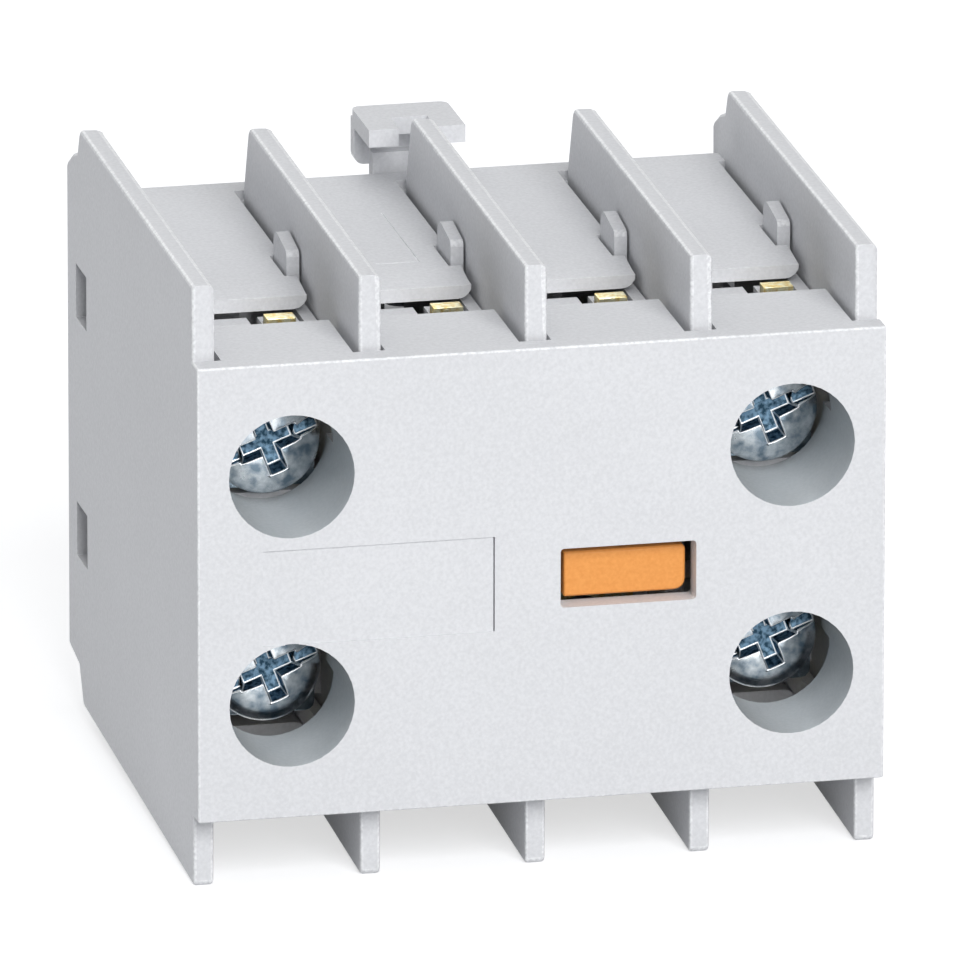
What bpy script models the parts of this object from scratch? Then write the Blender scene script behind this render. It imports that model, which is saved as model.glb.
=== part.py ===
"""Auxiliary contact block that clips on the front of a 45 mm contactor.

A grey moulded housing with five fins above and below carries four poles side by side. Each pole has an
upper and a lower terminal plate. The two outer poles are wired: each has a screw and a clamp washer at
both ends and a bridge contact between them, one normally closed and one normally open. One carrier slides
backwards in the housing against a return spring and takes both bridges and the orange indicator with it.
The front cover snaps into slots in the housing's roofs, and a sprung latch at the top rear locks the block.

Design coordinates: x to the right, y backwards from the front face, z upwards from the face's middle.
The finished object stands on its lower fins, with the origin under the middle of its depth.
"""

import math

import bmesh
import bpy
from mathutils import Matrix, Vector

MM = 0.001

# Clearances between separate pieces
GAP = 0.3 * MM
SEAM = 0.2 * MM

# How far joined bodies reach into each other, and how far a cut runs past the face that it opens
BITE = 0.5 * MM
OVERSHOOT = 1.0 * MM
STEP = 0.1 * MM
FAR = 100.0 * MM

# Front face and cover skirts
FACE_WIDTH = 44.0 * MM
FACE_HEIGHT = 29.65 * MM
FACE_THICKNESS = 1.6 * MM
FACE_EDGE_RADIUS = 0.35 * MM
SKIRT_DEPTH = 8.8 * MM
SKIRT_THICKNESS = 1.4 * MM
SLOT_LEFT_CLEARANCE = 0.45 * MM
SLOT_RIGHT_CLEARANCE = 0.15 * MM

# Label recess and indicator window, from the middle of the face
LABEL_WIDTH = 14.8 * MM
LABEL_HEIGHT = 6.2 * MM
LABEL_X = -10.45 * MM
LABEL_Z = -0.4 * MM
LABEL_DEPTH = 0.12 * MM
WINDOW_WIDTH = 8.7 * MM
WINDOW_HEIGHT = 3.85 * MM
WINDOW_X = 5.5 * MM
WINDOW_Z = -0.3 * MM
WINDOW_CORNER_RADIUS = 0.2 * MM

# Side walls, fins and the spaces between them. Walls and fins get thinner towards their lower tips
WALL_THICKNESS = 1.46 * MM
WALL_INSET = 0.1 * MM
WALL_OVERHANG = 1.5 * MM
FIN_THICKNESS = 1.46 * MM
FIN_DRAFT = 0.16 * MM
FIN_REACH = 4.8 * MM
FIN_SETBACK = 0.4 * MM
FIN_REAR_SETBACK = 4.6 * MM
FIN_REAR_RISE = 0.2 * MM
FIN_LOWER_FALL = 1.0 * MM
FIN_EDGE_RADIUS = 0.22 * MM
FIN_SLOPE = 1.6 * MM
FIN_ROOT = 0.5 * MM
FIN_SHOULDER = 0.7 * MM
FIN_TIP_RADIUS = 0.8 * MM
FIN_LOWER_RADIUS = 0.6 * MM
FIN_LOWER_FRONT_RADIUS = 0.4 * MM
PARTITION_GAP = 0.6 * MM

# Rear shoulders of the side walls, as depths behind the inner fins and heights above or below the roofs
WALL_FIN_OVERRUN = 1.9 * MM
SHOULDER_SLOPE = 0.8 * MM
SHOULDER_FOOT = 3.2 * MM
SHOULDER_HEIGHT = 2.7 * MM
SHOULDER_RUN = 1.9 * MM
SHOULDER_REAR_HEIGHT = 1.6 * MM
SHOULDER_RADIUS = 0.8 * MM
SHOULDER_REAR_RADIUS = 0.5 * MM
LOWER_SHOULDER_SLOPE = 1.3 * MM
LOWER_SHOULDER_SETBACK = 0.4 * MM
LOWER_SHOULDER_HEIGHT = 1.5 * MM
LOWER_SHOULDER_REAR_HEIGHT = 1.0 * MM
LOWER_SHOULDER_RADIUS = 0.3 * MM

# Roof plates over and under the contact chamber
ROOF_THICKNESS = 1.2 * MM
ROOF_FRONT = 15.4 * MM
ROOF_SLOPE_LENGTH = 3.1 * MM
ROOF_LIP_DROP = 0.5 * MM
ROOF_CORNER_RADIUS = 0.9 * MM
ROOF_SLOT_WIDTH = 0.4 * MM
ROOF_SLOT_SETBACK = 1.9 * MM
REAR_WALL_DEPTH = 39.9 * MM
REAR_WALL_THICKNESS = 1.4 * MM

# Slots through the side walls near the rear
SIDE_SLOT_DEPTH = 3.4 * MM
SIDE_SLOT_HEIGHT = 3.6 * MM
SIDE_SLOT_SETBACK = 3.0 * MM
SIDE_SLOT_Z = (8.7 * MM, -7.2 * MM)

# Cover snap arms, whose heads stand up through the roofs
TAB_THICKNESS = 0.82 * MM
TAB_OFFSET = 0.15 * MM
TAB_CLEARANCE = 0.2 * MM
TAB_SETBACK = 0.55 * MM
TAB_LENGTH = 4.0 * MM
TAB_STAND_FRONT = 1.45 * MM
TAB_STAND_REAR = 2.05 * MM
TAB_FRONT_RADIUS = 0.4 * MM
TAB_REAR_RADIUS = 1.0 * MM
ARM_HEIGHT = 1.5 * MM
ARM_ROOT = 4.0 * MM
ARM_OVERLAP = 1.0 * MM

# Terminal screws and the bores over them
SCREW_OFFSET = 0.12 * MM
SCREW_INSET = 7.36 * MM
BORE_RADIUS = 4.0 * MM
BORE_WALL = 0.7 * MM
BORE_HEAD_GAP = 0.6 * MM
TROUGH_OVERLAP = 1.6 * MM
HEAD_RADIUS = 3.45 * MM
HEAD_HEIGHT = 1.9 * MM
HEAD_CROWN = 0.9 * MM
HEAD_RIM = 0.55 * MM
HEAD_CHAMFER = 0.25 * MM
HEAD_FRONT = 7.0 * MM
SHANK_RADIUS = 1.75 * MM
SHANK_LENGTH = 8.0 * MM
SHANK_POINT_LENGTH = 0.5 * MM
SHANK_POINT_DROP = 0.45 * MM
RECESS_WIDTH = 1.3 * MM
RECESS_REACH = 2.3 * MM
RECESS_DEPTH = 1.2 * MM
RECESS_TURN = 21.0
SLOT_CUT_WIDTH = 0.8 * MM
SLOT_CUT_DEPTH = 0.8 * MM

# Clamp washers and terminal plates
WASHER_SIDE = 6.8 * MM
WASHER_THICKNESS = 0.9 * MM
WASHER_CORNER_RADIUS = 0.6 * MM
PLATE_THICKNESS = 1.2 * MM
PLATE_WIDTH = 6.6 * MM
PLATE_ABOVE_SCREW = 3.57 * MM
PLATE_BELOW_SCREW = 3.43 * MM
WIRE_SPACE = 2.1 * MM
EAR_OFFSET = 1.95 * MM
EAR_WIDTH = 1.9 * MM
EAR_SETBACK = 0.75 * MM
LEG_THICKNESS = 1.0 * MM
LEG_WIDTH = 3.6 * MM
LEG_BEND_RADIUS = 0.5 * MM
TIP_OFFSET = 2.0 * MM
TIP_BOTTOM = 2.1 * MM

# Contacts
STROKE = 3.2 * MM
BRIDGE_LENGTH = 7.4 * MM
BRIDGE_WIDTH = 3.0 * MM
BRIDGE_THICKNESS = 0.8 * MM
BRIDGE_CORNER_RADIUS = 0.7 * MM
BUTTON_RADIUS = 0.7 * MM
RIVET_RADIUS = 0.8 * MM
RIVET_HEIGHT = 0.4 * MM
RIVET_ROOT = 0.2 * MM
RIVET_Z = 3.0 * MM
CONTACT_WIRE_RADIUS = 0.15 * MM
CONTACT_COIL_RADIUS = 1.1 * MM

# Contact carrier
CARRIER_HALF_HEIGHT = 1.7 * MM
CARRIER_END_WALL = 2.4 * MM
CARRIER_FRONT_WALL = 2.1 * MM
CARRIER_REAR_WALL = 1.7 * MM
CARRIER_WINDOW_WIDTH = 3.6 * MM
CARRIER_WINDOW_DEPTH = 5.4 * MM
STEM_HALF_WIDTH = 1.6 * MM
STEM_HALF_HEIGHT = 1.2 * MM
STEM_OVERHANG = 1.0 * MM
STEM_CHAMFER_LENGTH = 0.6 * MM
STEM_CHAMFER_HEIGHT = 0.5 * MM
GROOVE_WIDTH = 1.0 * MM
GROOVE_DEPTH = 0.5 * MM
GROOVE_SETBACK = 1.2 * MM
NECK_HALF_WIDTH = 2.0 * MM
NECK_HALF_HEIGHT = 0.7 * MM
RETURN_COIL_RADIUS = 2.6 * MM
RETURN_WIRE_RADIUS = 0.25 * MM

# Indicator, which stands in the window and sits a little low in it
INDICATOR_WIDTH = 7.8 * MM
INDICATOR_HEIGHT = 2.93 * MM
INDICATOR_FRONT = 1.1 * MM
INDICATOR_DROP = 0.12 * MM
INDICATOR_LENGTH = 7.9 * MM
INDICATOR_SOCKET = 2.5 * MM
INDICATOR_LOWER_RADIUS = 0.7 * MM
INDICATOR_UPPER_RADIUS = 0.3 * MM
INDICATOR_EDGE_RADIUS = 0.15 * MM

# Ledges and ribs that carry the terminal plates, and barriers on the upper ribs
LEDGE_THICKNESS = 1.1 * MM
SEAT_RIB_THICKNESS = 1.5 * MM
SEAT_RIB_OVERRUN = 0.2 * MM
SEAT_HOLE_RADIUS = 2.4 * MM
SEAT_HOLE_DEPTH = 3.0 * MM
BARRIER_EAR_GAP = 0.7 * MM

# Release latch
LATCH_WIDTH = 6.3 * MM
LATCH_STAND = 3.85 * MM
LATCH_OVERLAP = 3.2 * MM
LATCH_OVERHANG = 2.45 * MM
LATCH_THICKNESS = 1.15 * MM
LATCH_LEAF_STAND = 0.3 * MM
LATCH_NOTCH_DEPTH = 2.6 * MM
LATCH_NOTCH_WIDTH = 2.4 * MM
LATCH_CORNER_RADIUS = 0.6 * MM
LATCH_BRIDGE_THICKNESS = 1.0 * MM
LATCH_STEM_HALF_WIDTH = 2.15 * MM
LATCH_STEM_THICKNESS = 1.2 * MM
LATCH_STEM_REACH = 3.2 * MM
LATCH_FOOT_HALF_WIDTH = 2.9 * MM
LATCH_FOOT_HEIGHT = 1.2 * MM
LATCH_TOOTH_HALF_WIDTH = 1.3 * MM
LATCH_TOOTH_REACH = 1.9 * MM
LATCH_TOOTH_HEIGHT = 1.8 * MM
LATCH_TOOTH_EDGE = 0.5 * MM
LATCH_TOOTH_SETBACK = 0.2 * MM
LATCH_COIL_RADIUS = 1.2 * MM
LATCH_WIRE_RADIUS = 0.25 * MM
LATCH_COIL_SETBACK = 0.5 * MM
LATCH_SPRING_LENGTH = 4.0 * MM
RAIL_WIDTH = 1.0 * MM
RAIL_LIP_THICKNESS = 0.7 * MM
RAIL_SETBACK = 1.7 * MM
RAIL_SLOT_CLEARANCE = 0.4 * MM
RAIL_STOP_HEIGHT = 1.0 * MM
SHELF_THICKNESS = 1.0 * MM

# Claws that hook behind the contactor's front
CLAW_WIDTH = 3.0 * MM
CLAW_INSET = 7.0 * MM
CLAW_TOPS = (9.5 * MM, -6.0 * MM)
CLAW_REACH = 3.4 * MM
CLAW_THICKNESS = 1.2 * MM
CLAW_DROP = 3.2 * MM
CLAW_LEAD = 0.4 * MM
CLAW_ROOT_RISE = 0.4 * MM

# Heights that follow from the ones above
BODY_TOP = FACE_HEIGHT / 2
LOWER_REACH = BODY_TOP + FIN_REACH
ROOF_UNDERSIDE = BODY_TOP - ROOF_THICKNESS
SKIRT_UNDERSIDE = BODY_TOP - SKIRT_THICKNESS
SCREW_Z = BODY_TOP - SCREW_INSET
PLATE_TOP = SCREW_Z + PLATE_ABOVE_SCREW
PLATE_BOTTOM = SCREW_Z - PLATE_BELOW_SCREW
EAR_TOP = BODY_TOP - EAR_SETBACK
ARM_TOP = ROOF_UNDERSIDE - GAP
INDICATOR_Z = WINDOW_Z - INDICATOR_DROP
LATCH_TOP = BODY_TOP + LATCH_STAND
LATCH_LEAF_BOTTOM = BODY_TOP + LATCH_LEAF_STAND
RAIL_TOP = BODY_TOP - RAIL_SETBACK
LATCH_STEM_BOTTOM = RAIL_TOP - LATCH_STEM_REACH
LATCH_SPRING_FLOOR = LATCH_STEM_BOTTOM - GAP - LATCH_SPRING_LENGTH
SHELF_TOP = LATCH_SPRING_FLOOR - GAP
SHELF_BOTTOM = SHELF_TOP - SHELF_THICKNESS

# Widths that follow: four equal channels between the side walls, with a pole in each
WALL_OUTSIDE = FACE_WIDTH / 2 - WALL_INSET
WALL_INSIDE = WALL_OUTSIDE - WALL_THICKNESS
FIN_PITCH = (2 * WALL_INSIDE + FIN_THICKNESS) / 4
FIN_POSITIONS = (-FIN_PITCH, 0.0, FIN_PITCH)
CHANNEL_FACES = [-WALL_INSIDE]
for fin_x in FIN_POSITIONS:
    CHANNEL_FACES += [fin_x - FIN_THICKNESS / 2, fin_x + FIN_THICKNESS / 2]
CHANNEL_FACES.append(WALL_INSIDE)
CHANNELS = list(zip(CHANNEL_FACES[0::2], CHANNEL_FACES[1::2]))
SCREW_X = (CHANNEL_FACES[-1] + CHANNEL_FACES[-2]) / 2 + SCREW_OFFSET
POLE_POSITIONS = (-SCREW_X, -FIN_PITCH / 2, FIN_PITCH / 2, SCREW_X)
RAIL_INSIDE = LATCH_FOOT_HALF_WIDTH + GAP

# Depths that follow, from the front face backwards
FIN_FRONT = FACE_THICKNESS + FIN_SETBACK
FIN_REAR = REAR_WALL_DEPTH - FIN_REAR_SETBACK
WALL_REAR = REAR_WALL_DEPTH + WALL_OVERHANG
SIDE_SLOT_Y = REAR_WALL_DEPTH - SIDE_SLOT_SETBACK
ROOF_CREASE = ROOF_FRONT + ROOF_SLOPE_LENGTH
ROOF_SLOT_END = REAR_WALL_DEPTH - ROOF_SLOT_SETBACK
REAR_WALL_FRONT = REAR_WALL_DEPTH - REAR_WALL_THICKNESS
REAR_WALL_MIDDLE = REAR_WALL_DEPTH - REAR_WALL_THICKNESS / 2
TAB_FRONT = ROOF_CREASE + TAB_SETBACK
BORE_LENGTH = HEAD_FRONT - BORE_HEAD_GAP
TROUGH_LENGTH = HEAD_FRONT + TROUGH_OVERLAP
PARTITION_FRONT = TROUGH_LENGTH + PARTITION_GAP
WASHER_FRONT = HEAD_FRONT + HEAD_HEIGHT + GAP
PLATE_FRONT = WASHER_FRONT + WASHER_THICKNESS + WIRE_SPACE
PLATE_REAR = PLATE_FRONT + PLATE_THICKNESS
SHANK_HOLE_RADIUS = SHANK_RADIUS + GAP
CLOSED_TIP_FRONT = PLATE_REAR + TIP_OFFSET
BRIDGE_CLOSED_FRONT = CLOSED_TIP_FRONT + LEG_THICKNESS + RIVET_HEIGHT + GAP + RIVET_HEIGHT
CARRIER_WINDOW_FRONT = BRIDGE_CLOSED_FRONT - GAP
CARRIER_WINDOW_REAR = CARRIER_WINDOW_FRONT + CARRIER_WINDOW_DEPTH
CARRIER_FRONT = CARRIER_WINDOW_FRONT - CARRIER_FRONT_WALL
CARRIER_REAR = CARRIER_WINDOW_REAR + CARRIER_REAR_WALL
BRIDGE_OPEN_FRONT = CARRIER_WINDOW_REAR - GAP - BRIDGE_THICKNESS
OPEN_TIP_FRONT = BRIDGE_OPEN_FRONT + BRIDGE_THICKNESS + RIVET_HEIGHT + STROKE + GAP + RIVET_HEIGHT
STEM_END = REAR_WALL_DEPTH + STEM_OVERHANG
LATCH_FRONT = REAR_WALL_DEPTH - LATCH_OVERLAP
LATCH_REAR = REAR_WALL_DEPTH + LATCH_OVERHANG
LATCH_STEM_FRONT = REAR_WALL_DEPTH + GAP
LATCH_STEM_REAR = LATCH_STEM_FRONT + LATCH_STEM_THICKNESS
RAIL_REAR = LATCH_STEM_REAR + GAP + RAIL_LIP_THICKNESS
OVERALL_DEPTH = max(REAR_WALL_DEPTH + CLAW_REACH, LATCH_STEM_REAR + LATCH_TOOTH_REACH)
DATUM = Vector((0.0, -OVERALL_DEPTH / 2, LOWER_REACH))


def clear_scene():
    """Removes what the opened file holds."""
    for existing in list(bpy.data.objects):
        bpy.data.objects.remove(existing, do_unlink=True)


def new_object(name, bm):
    """Makes an object of a finished bmesh, with its faces pointing out."""
    bmesh.ops.recalc_face_normals(bm, faces=bm.faces)
    mesh = bpy.data.meshes.new(name)
    bm.to_mesh(mesh)
    bm.free()
    made = bpy.data.objects.new(name, mesh)
    bpy.context.scene.collection.objects.link(made)
    return made


def block(x, y, z):
    """A box from its low and high limits along x, y and z."""
    bm = bmesh.new()
    centre = Vector(((x[0] + x[1]) / 2, (y[0] + y[1]) / 2, (z[0] + z[1]) / 2))
    size = (x[1] - x[0], y[1] - y[0], z[1] - z[0])
    bmesh.ops.create_cube(bm, size=1.0, matrix=Matrix.Translation(centre) @ Matrix.Diagonal((*size, 1.0)))
    return new_object("block", bm)


def fillet(corners, steps=4):
    """Rounds an outline. A corner gives its two coordinates, and a radius where it is rounded."""
    outline = []
    for index, corner in enumerate(corners):
        here = Vector(corner[:2])
        if len(corner) == 2:
            outline.append(here)
            continue
        before = (Vector(corners[index - 1][:2]) - here).normalized()
        after = (Vector(corners[(index + 1) % len(corners)][:2]) - here).normalized()
        half_angle = before.angle(after) / 2
        radius = corner[2]
        centre = here + (before + after).normalized() * (radius / math.sin(half_angle))
        start = here + before * (radius / math.tan(half_angle)) - centre
        finish = here + after * (radius / math.tan(half_angle)) - centre
        turn = start.angle_signed(finish)
        for step in range(steps + 1):
            swung = start.copy()
            swung.rotate(Matrix.Rotation(-turn * step / steps, 2))
            outline.append(centre + swung)
    return outline


def rounded_rectangle(first, second, radius, steps=3):
    """A rectangle between its limits along two axes, with one radius at all four corners."""
    places = [(first[0], second[0]), (first[1], second[0]), (first[1], second[1]), (first[0], second[1])]
    return fillet([(*place, radius) for place in places], steps)


def prism(outline, axis, low, high, edge_radius=0.0, segments=2):
    """Extrudes an outline along x, y or z. The outline gives the other two coordinates in that order."""
    places = {"x": (1, 2), "y": (0, 2), "z": (0, 1)}[axis]
    along = "xyz".index(axis)
    bm = bmesh.new()
    corners = []
    for point in outline:
        place = [0.0, 0.0, 0.0]
        place[places[0]], place[places[1]] = point[0], point[1]
        place[along] = low
        corners.append(bm.verts.new(place))
    base = bm.faces.new(corners)
    grown = bmesh.ops.extrude_face_region(bm, geom=[base], use_keep_orig=True)
    move = Vector((0.0, 0.0, 0.0))
    move[along] = high - low
    bmesh.ops.translate(bm, vec=move, verts=[v for v in grown["geom"] if isinstance(v, bmesh.types.BMVert)])
    bmesh.ops.recalc_face_normals(bm, faces=bm.faces)
    if edge_radius:
        rims = [e for e in bm.edges if abs(e.verts[0].co[along] - e.verts[1].co[along]) < edge_radius / 10]
        bmesh.ops.bevel(bm, geom=rims, offset=edge_radius, segments=segments, profile=0.5, affect="EDGES")
    return new_object("prism", bm)


def rod(centre, radius, low, high, axis="y", sides=32):
    """A cylinder along an axis through centre, which gives the other two coordinates in order."""
    bm = bmesh.new()
    quarter = math.pi / 2
    turns = {"x": Matrix.Rotation(quarter, 4, "Y"), "y": Matrix.Rotation(quarter, 4, "X"), "z": Matrix()}
    middle = {
        "x": ((low + high) / 2, centre[0], centre[1]),
        "y": (centre[0], (low + high) / 2, centre[1]),
        "z": (centre[0], centre[1], (low + high) / 2),
    }[axis]
    matrix = Matrix.Translation(middle) @ turns[axis]
    bmesh.ops.create_cone(
        bm, cap_ends=True, segments=sides, radius1=radius, radius2=radius, depth=high - low, matrix=matrix
    )
    return new_object("rod", bm)


def turned(profile, sides):
    """A turned body about the y axis. profile lists (radius, y) from the axis back to the axis."""
    bm = bmesh.new()
    points = [bm.verts.new((radius, depth, 0.0)) for radius, depth in profile]
    edges = [bm.edges.new(pair) for pair in zip(points, points[1:])]
    bmesh.ops.spin(
        bm, geom=points + edges, axis=(0.0, 1.0, 0.0), cent=(0.0, 0.0, 0.0), angle=2 * math.pi, steps=sides
    )
    bmesh.ops.remove_doubles(bm, verts=bm.verts, dist=0.001 * MM)
    return new_object("turned", bm)


def combine(base, others, operation):
    """Joins other solids to base, or cuts them out of it, and removes them."""
    tools = bpy.data.collections.new("tools")
    bpy.context.scene.collection.children.link(tools)
    for other in others:
        bpy.context.scene.collection.objects.unlink(other)
        tools.objects.link(other)
    change = base.modifiers.new("change", "BOOLEAN")
    change.operand_type = "COLLECTION"
    change.collection = tools
    change.operation = operation
    change.solver = "EXACT"
    seen = base.evaluated_get(bpy.context.evaluated_depsgraph_get())
    result = bpy.data.meshes.new_from_object(seen)
    base.modifiers.clear()
    base.data = result
    for other in others:
        bpy.data.objects.remove(other, do_unlink=True)
    bpy.data.collections.remove(tools)
    return base


def union(base, *others):
    return combine(base, others, "UNION")


def cut(base, *others):
    return combine(base, others, "DIFFERENCE")


def linear(channel):
    """One sRGB channel, 0 to 255, as linear light."""
    value = channel / 255
    return value / 12.92 if value <= 0.04045 else ((value + 0.055) / 1.055) ** 2.4


def finish(made, name, location, colour, roughness, metallic=0.0):
    """Names a piece, sets it in place and gives it a material of its own."""
    made.name = name
    made.data.name = name
    made.location = DATUM + Vector(location)
    material = bpy.data.materials.new(name)
    material.use_nodes = True
    shader = material.node_tree.nodes["Principled BSDF"]
    shader.inputs["Base Color"].default_value = (*[linear(channel) for channel in colour], 1.0)
    shader.inputs["Roughness"].default_value = roughness
    shader.inputs["Metallic"].default_value = metallic
    made.data.materials.clear()
    made.data.materials.append(material)
    if made.type == "MESH":
        made.data.shade_smooth()
        made.data.set_sharp_from_angle(angle=math.radians(35))
    return made


GREY = (205, 207, 211)
ORANGE = (241, 167, 96)
CHARCOAL = (58, 60, 64)
BRASS = (214, 186, 104)
SILVER = (208, 206, 200)
ZINC = (186, 200, 212)
STEEL = (170, 172, 176)


def both_sides(*limits):
    """The limits as given, and mirrored to the lower half."""
    return (limits, tuple(-value for value in reversed(limits)))


# Housing: one grey moulding with side walls, fins, partitions, roofs, rear wall, ledges, rails and claws
def side_wall_outline():
    """A side wall from the side: tall fins at both ends, and a stepped shoulder at the rear."""
    top = LOWER_REACH
    fin_end = FIN_REAR + WALL_FIN_OVERRUN
    seam_notch = BODY_TOP - GAP
    front = FACE_THICKNESS + SEAM
    lower_end = fin_end - LOWER_SHOULDER_SETBACK
    upper = [
        (front, seam_notch),
        (FIN_FRONT, seam_notch),
        (FIN_FRONT, top),
        (fin_end, top + FIN_REAR_RISE, FIN_TIP_RADIUS),
        (fin_end + SHOULDER_SLOPE, BODY_TOP + SHOULDER_FOOT),
        (WALL_REAR - SHOULDER_RUN, BODY_TOP + SHOULDER_HEIGHT, SHOULDER_RADIUS),
        (WALL_REAR, BODY_TOP + SHOULDER_REAR_HEIGHT, SHOULDER_REAR_RADIUS),
    ]
    lower = [
        (WALL_REAR, -BODY_TOP - LOWER_SHOULDER_REAR_HEIGHT, LOWER_SHOULDER_RADIUS),
        (lower_end + LOWER_SHOULDER_SLOPE, -BODY_TOP - LOWER_SHOULDER_HEIGHT),
        (lower_end, -top + FIN_LOWER_FALL, FIN_LOWER_RADIUS),
        (FIN_FRONT, -top, FIN_LOWER_FRONT_RADIUS),
        (FIN_FRONT, -seam_notch),
        (front, -seam_notch),
    ]
    return fillet(upper + lower)


def partition_outline():
    """An inner fin from the side: it narrows behind the cover and runs on inside as a partition."""
    top = LOWER_REACH
    shoulder = SKIRT_UNDERSIDE - FIN_SHOULDER
    rear_foot = FIN_REAR + FIN_SLOPE
    below_roof = BODY_TOP - ROOF_THICKNESS / 2
    return fillet(
        [
            (FIN_FRONT, shoulder),
            (FIN_FRONT, top),
            (FIN_REAR, top + FIN_REAR_RISE, FIN_TIP_RADIUS),
            (rear_foot, BODY_TOP + FIN_ROOT),
            (rear_foot, below_roof),
            (REAR_WALL_MIDDLE, below_roof),
            (REAR_WALL_MIDDLE, -below_roof),
            (rear_foot, -below_roof),
            (rear_foot, -BODY_TOP - FIN_ROOT),
            (FIN_REAR, -top + FIN_LOWER_FALL, FIN_LOWER_RADIUS),
            (FIN_FRONT, -top, FIN_LOWER_FRONT_RADIUS),
            (FIN_FRONT, -shoulder),
            (PARTITION_FRONT, -shoulder),
            (PARTITION_FRONT, shoulder),
        ]
    )


def upright_plate(outline, low, high, flat_x):
    """A wall or fin between low and high along x. It thins downwards, and its plane at flat_x stays flat."""
    plate = prism(outline, "x", low, high, FIN_EDGE_RADIUS)
    for vertex in plate.data.vertices:
        share = (LOWER_REACH - vertex.co.z) / (2 * LOWER_REACH)
        vertex.co.x = flat_x + (vertex.co.x - flat_x) * (1 - FIN_DRAFT * share / (high - low))
    return plate


def roof_plate(left, right, side):
    """A roof with a rounded corner towards the slot on its right, and a sloping lip over the wire entry."""
    edge = right - ROOF_SLOT_WIDTH
    section = [
        (left - BITE, ROOF_UNDERSIDE),
        (edge, ROOF_UNDERSIDE, ROOF_CORNER_RADIUS),
        (edge, BODY_TOP),
        (left - BITE, BODY_TOP),
    ]
    roof = prism([(x, side * z) for x, z in fillet(section)], "y", ROOF_FRONT, REAR_WALL_DEPTH)
    fall = ROOF_LIP_DROP / ROOF_SLOPE_LENGTH
    wedge = [
        (ROOF_FRONT - OVERSHOOT, BODY_TOP - ROOF_LIP_DROP - fall * OVERSHOOT),
        (ROOF_CREASE, BODY_TOP),
        (ROOF_CREASE, BODY_TOP + OVERSHOOT),
        (ROOF_FRONT - OVERSHOOT, BODY_TOP + OVERSHOOT),
    ]
    return cut(roof, prism([(y, side * z) for y, z in wedge], "x", left - 2 * BITE, right + BITE))


def claw(x, top):
    """A hook behind the rear wall, pointing down."""
    tip = REAR_WALL_DEPTH + CLAW_REACH
    bottom = top - CLAW_DROP
    outline = [
        (REAR_WALL_MIDDLE, top),
        (tip, top),
        (tip, bottom + CLAW_LEAD),
        (tip - CLAW_LEAD, bottom),
        (tip - CLAW_THICKNESS, bottom + CLAW_LEAD),
        (tip - CLAW_THICKNESS, top - CLAW_THICKNESS),
        (REAR_WALL_MIDDLE, top - CLAW_THICKNESS - CLAW_ROOT_RISE),
    ]
    return prism(outline, "x", x - CLAW_WIDTH / 2, x + CLAW_WIDTH / 2)


def latch_guide():
    """Rails, lips, stops and spring shelf on the rear wall, between which the latch slides."""
    root = REAR_WALL_MIDDLE
    outside = RAIL_INSIDE + RAIL_WIDTH
    middle = RAIL_INSIDE + RAIL_WIDTH / 2
    lip_front = RAIL_REAR - RAIL_LIP_THICKNESS
    lip_inside = LATCH_TOOTH_HALF_WIDTH + RAIL_SLOT_CLEARANCE
    stop_inside = LATCH_STEM_HALF_WIDTH + GAP
    stop_bottom = LATCH_STEM_BOTTOM + LATCH_FOOT_HEIGHT + GAP
    pieces = [block((-outside, outside), (root, RAIL_REAR), (SHELF_BOTTOM, SHELF_TOP))]
    for side in (-1, 1):
        rail = sorted((side * RAIL_INSIDE, side * outside))
        lip = sorted((side * lip_inside, side * middle))
        stop = sorted((side * stop_inside, side * middle))
        pieces.append(block(rail, (root, RAIL_REAR), (SHELF_BOTTOM, RAIL_TOP)))
        pieces.append(block(lip, (lip_front, RAIL_REAR), (SHELF_BOTTOM + STEP, RAIL_TOP - STEP)))
        pieces.append(block(stop, (root, lip_front + STEP), (stop_bottom, stop_bottom + RAIL_STOP_HEIGHT)))
    return pieces


def pole_seats(x, left, right, side):
    """The ledge under a terminal plate and the rib behind it. The upper ribs rise as barriers."""
    across = (left - BITE, right + BITE)
    ledge_top = PLATE_BOTTOM - GAP
    ledge = sorted((side * (ledge_top - LEDGE_THICKNESS), side * ledge_top))
    rib_bottom = PLATE_BOTTOM + LEG_THICKNESS + GAP
    rib = sorted((side * rib_bottom, side * (PLATE_TOP + SEAT_RIB_OVERRUN)))
    rib_depth = (PLATE_REAR + GAP, PLATE_REAR + GAP + SEAT_RIB_THICKNESS)
    seats = [block(across, (PARTITION_FRONT, PLATE_REAR), ledge), block(across, rib_depth, rib)]
    if side > 0:
        ear_left = x + EAR_OFFSET - EAR_WIDTH / 2
        arm_left = right - TAB_OFFSET - TAB_THICKNESS
        for part in ((left - BITE, ear_left - BARRIER_EAR_GAP), (ear_left, arm_left - GAP)):
            seats.append(block(part, rib_depth, (rib_bottom + STEP, ARM_TOP)))
    return seats


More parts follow.
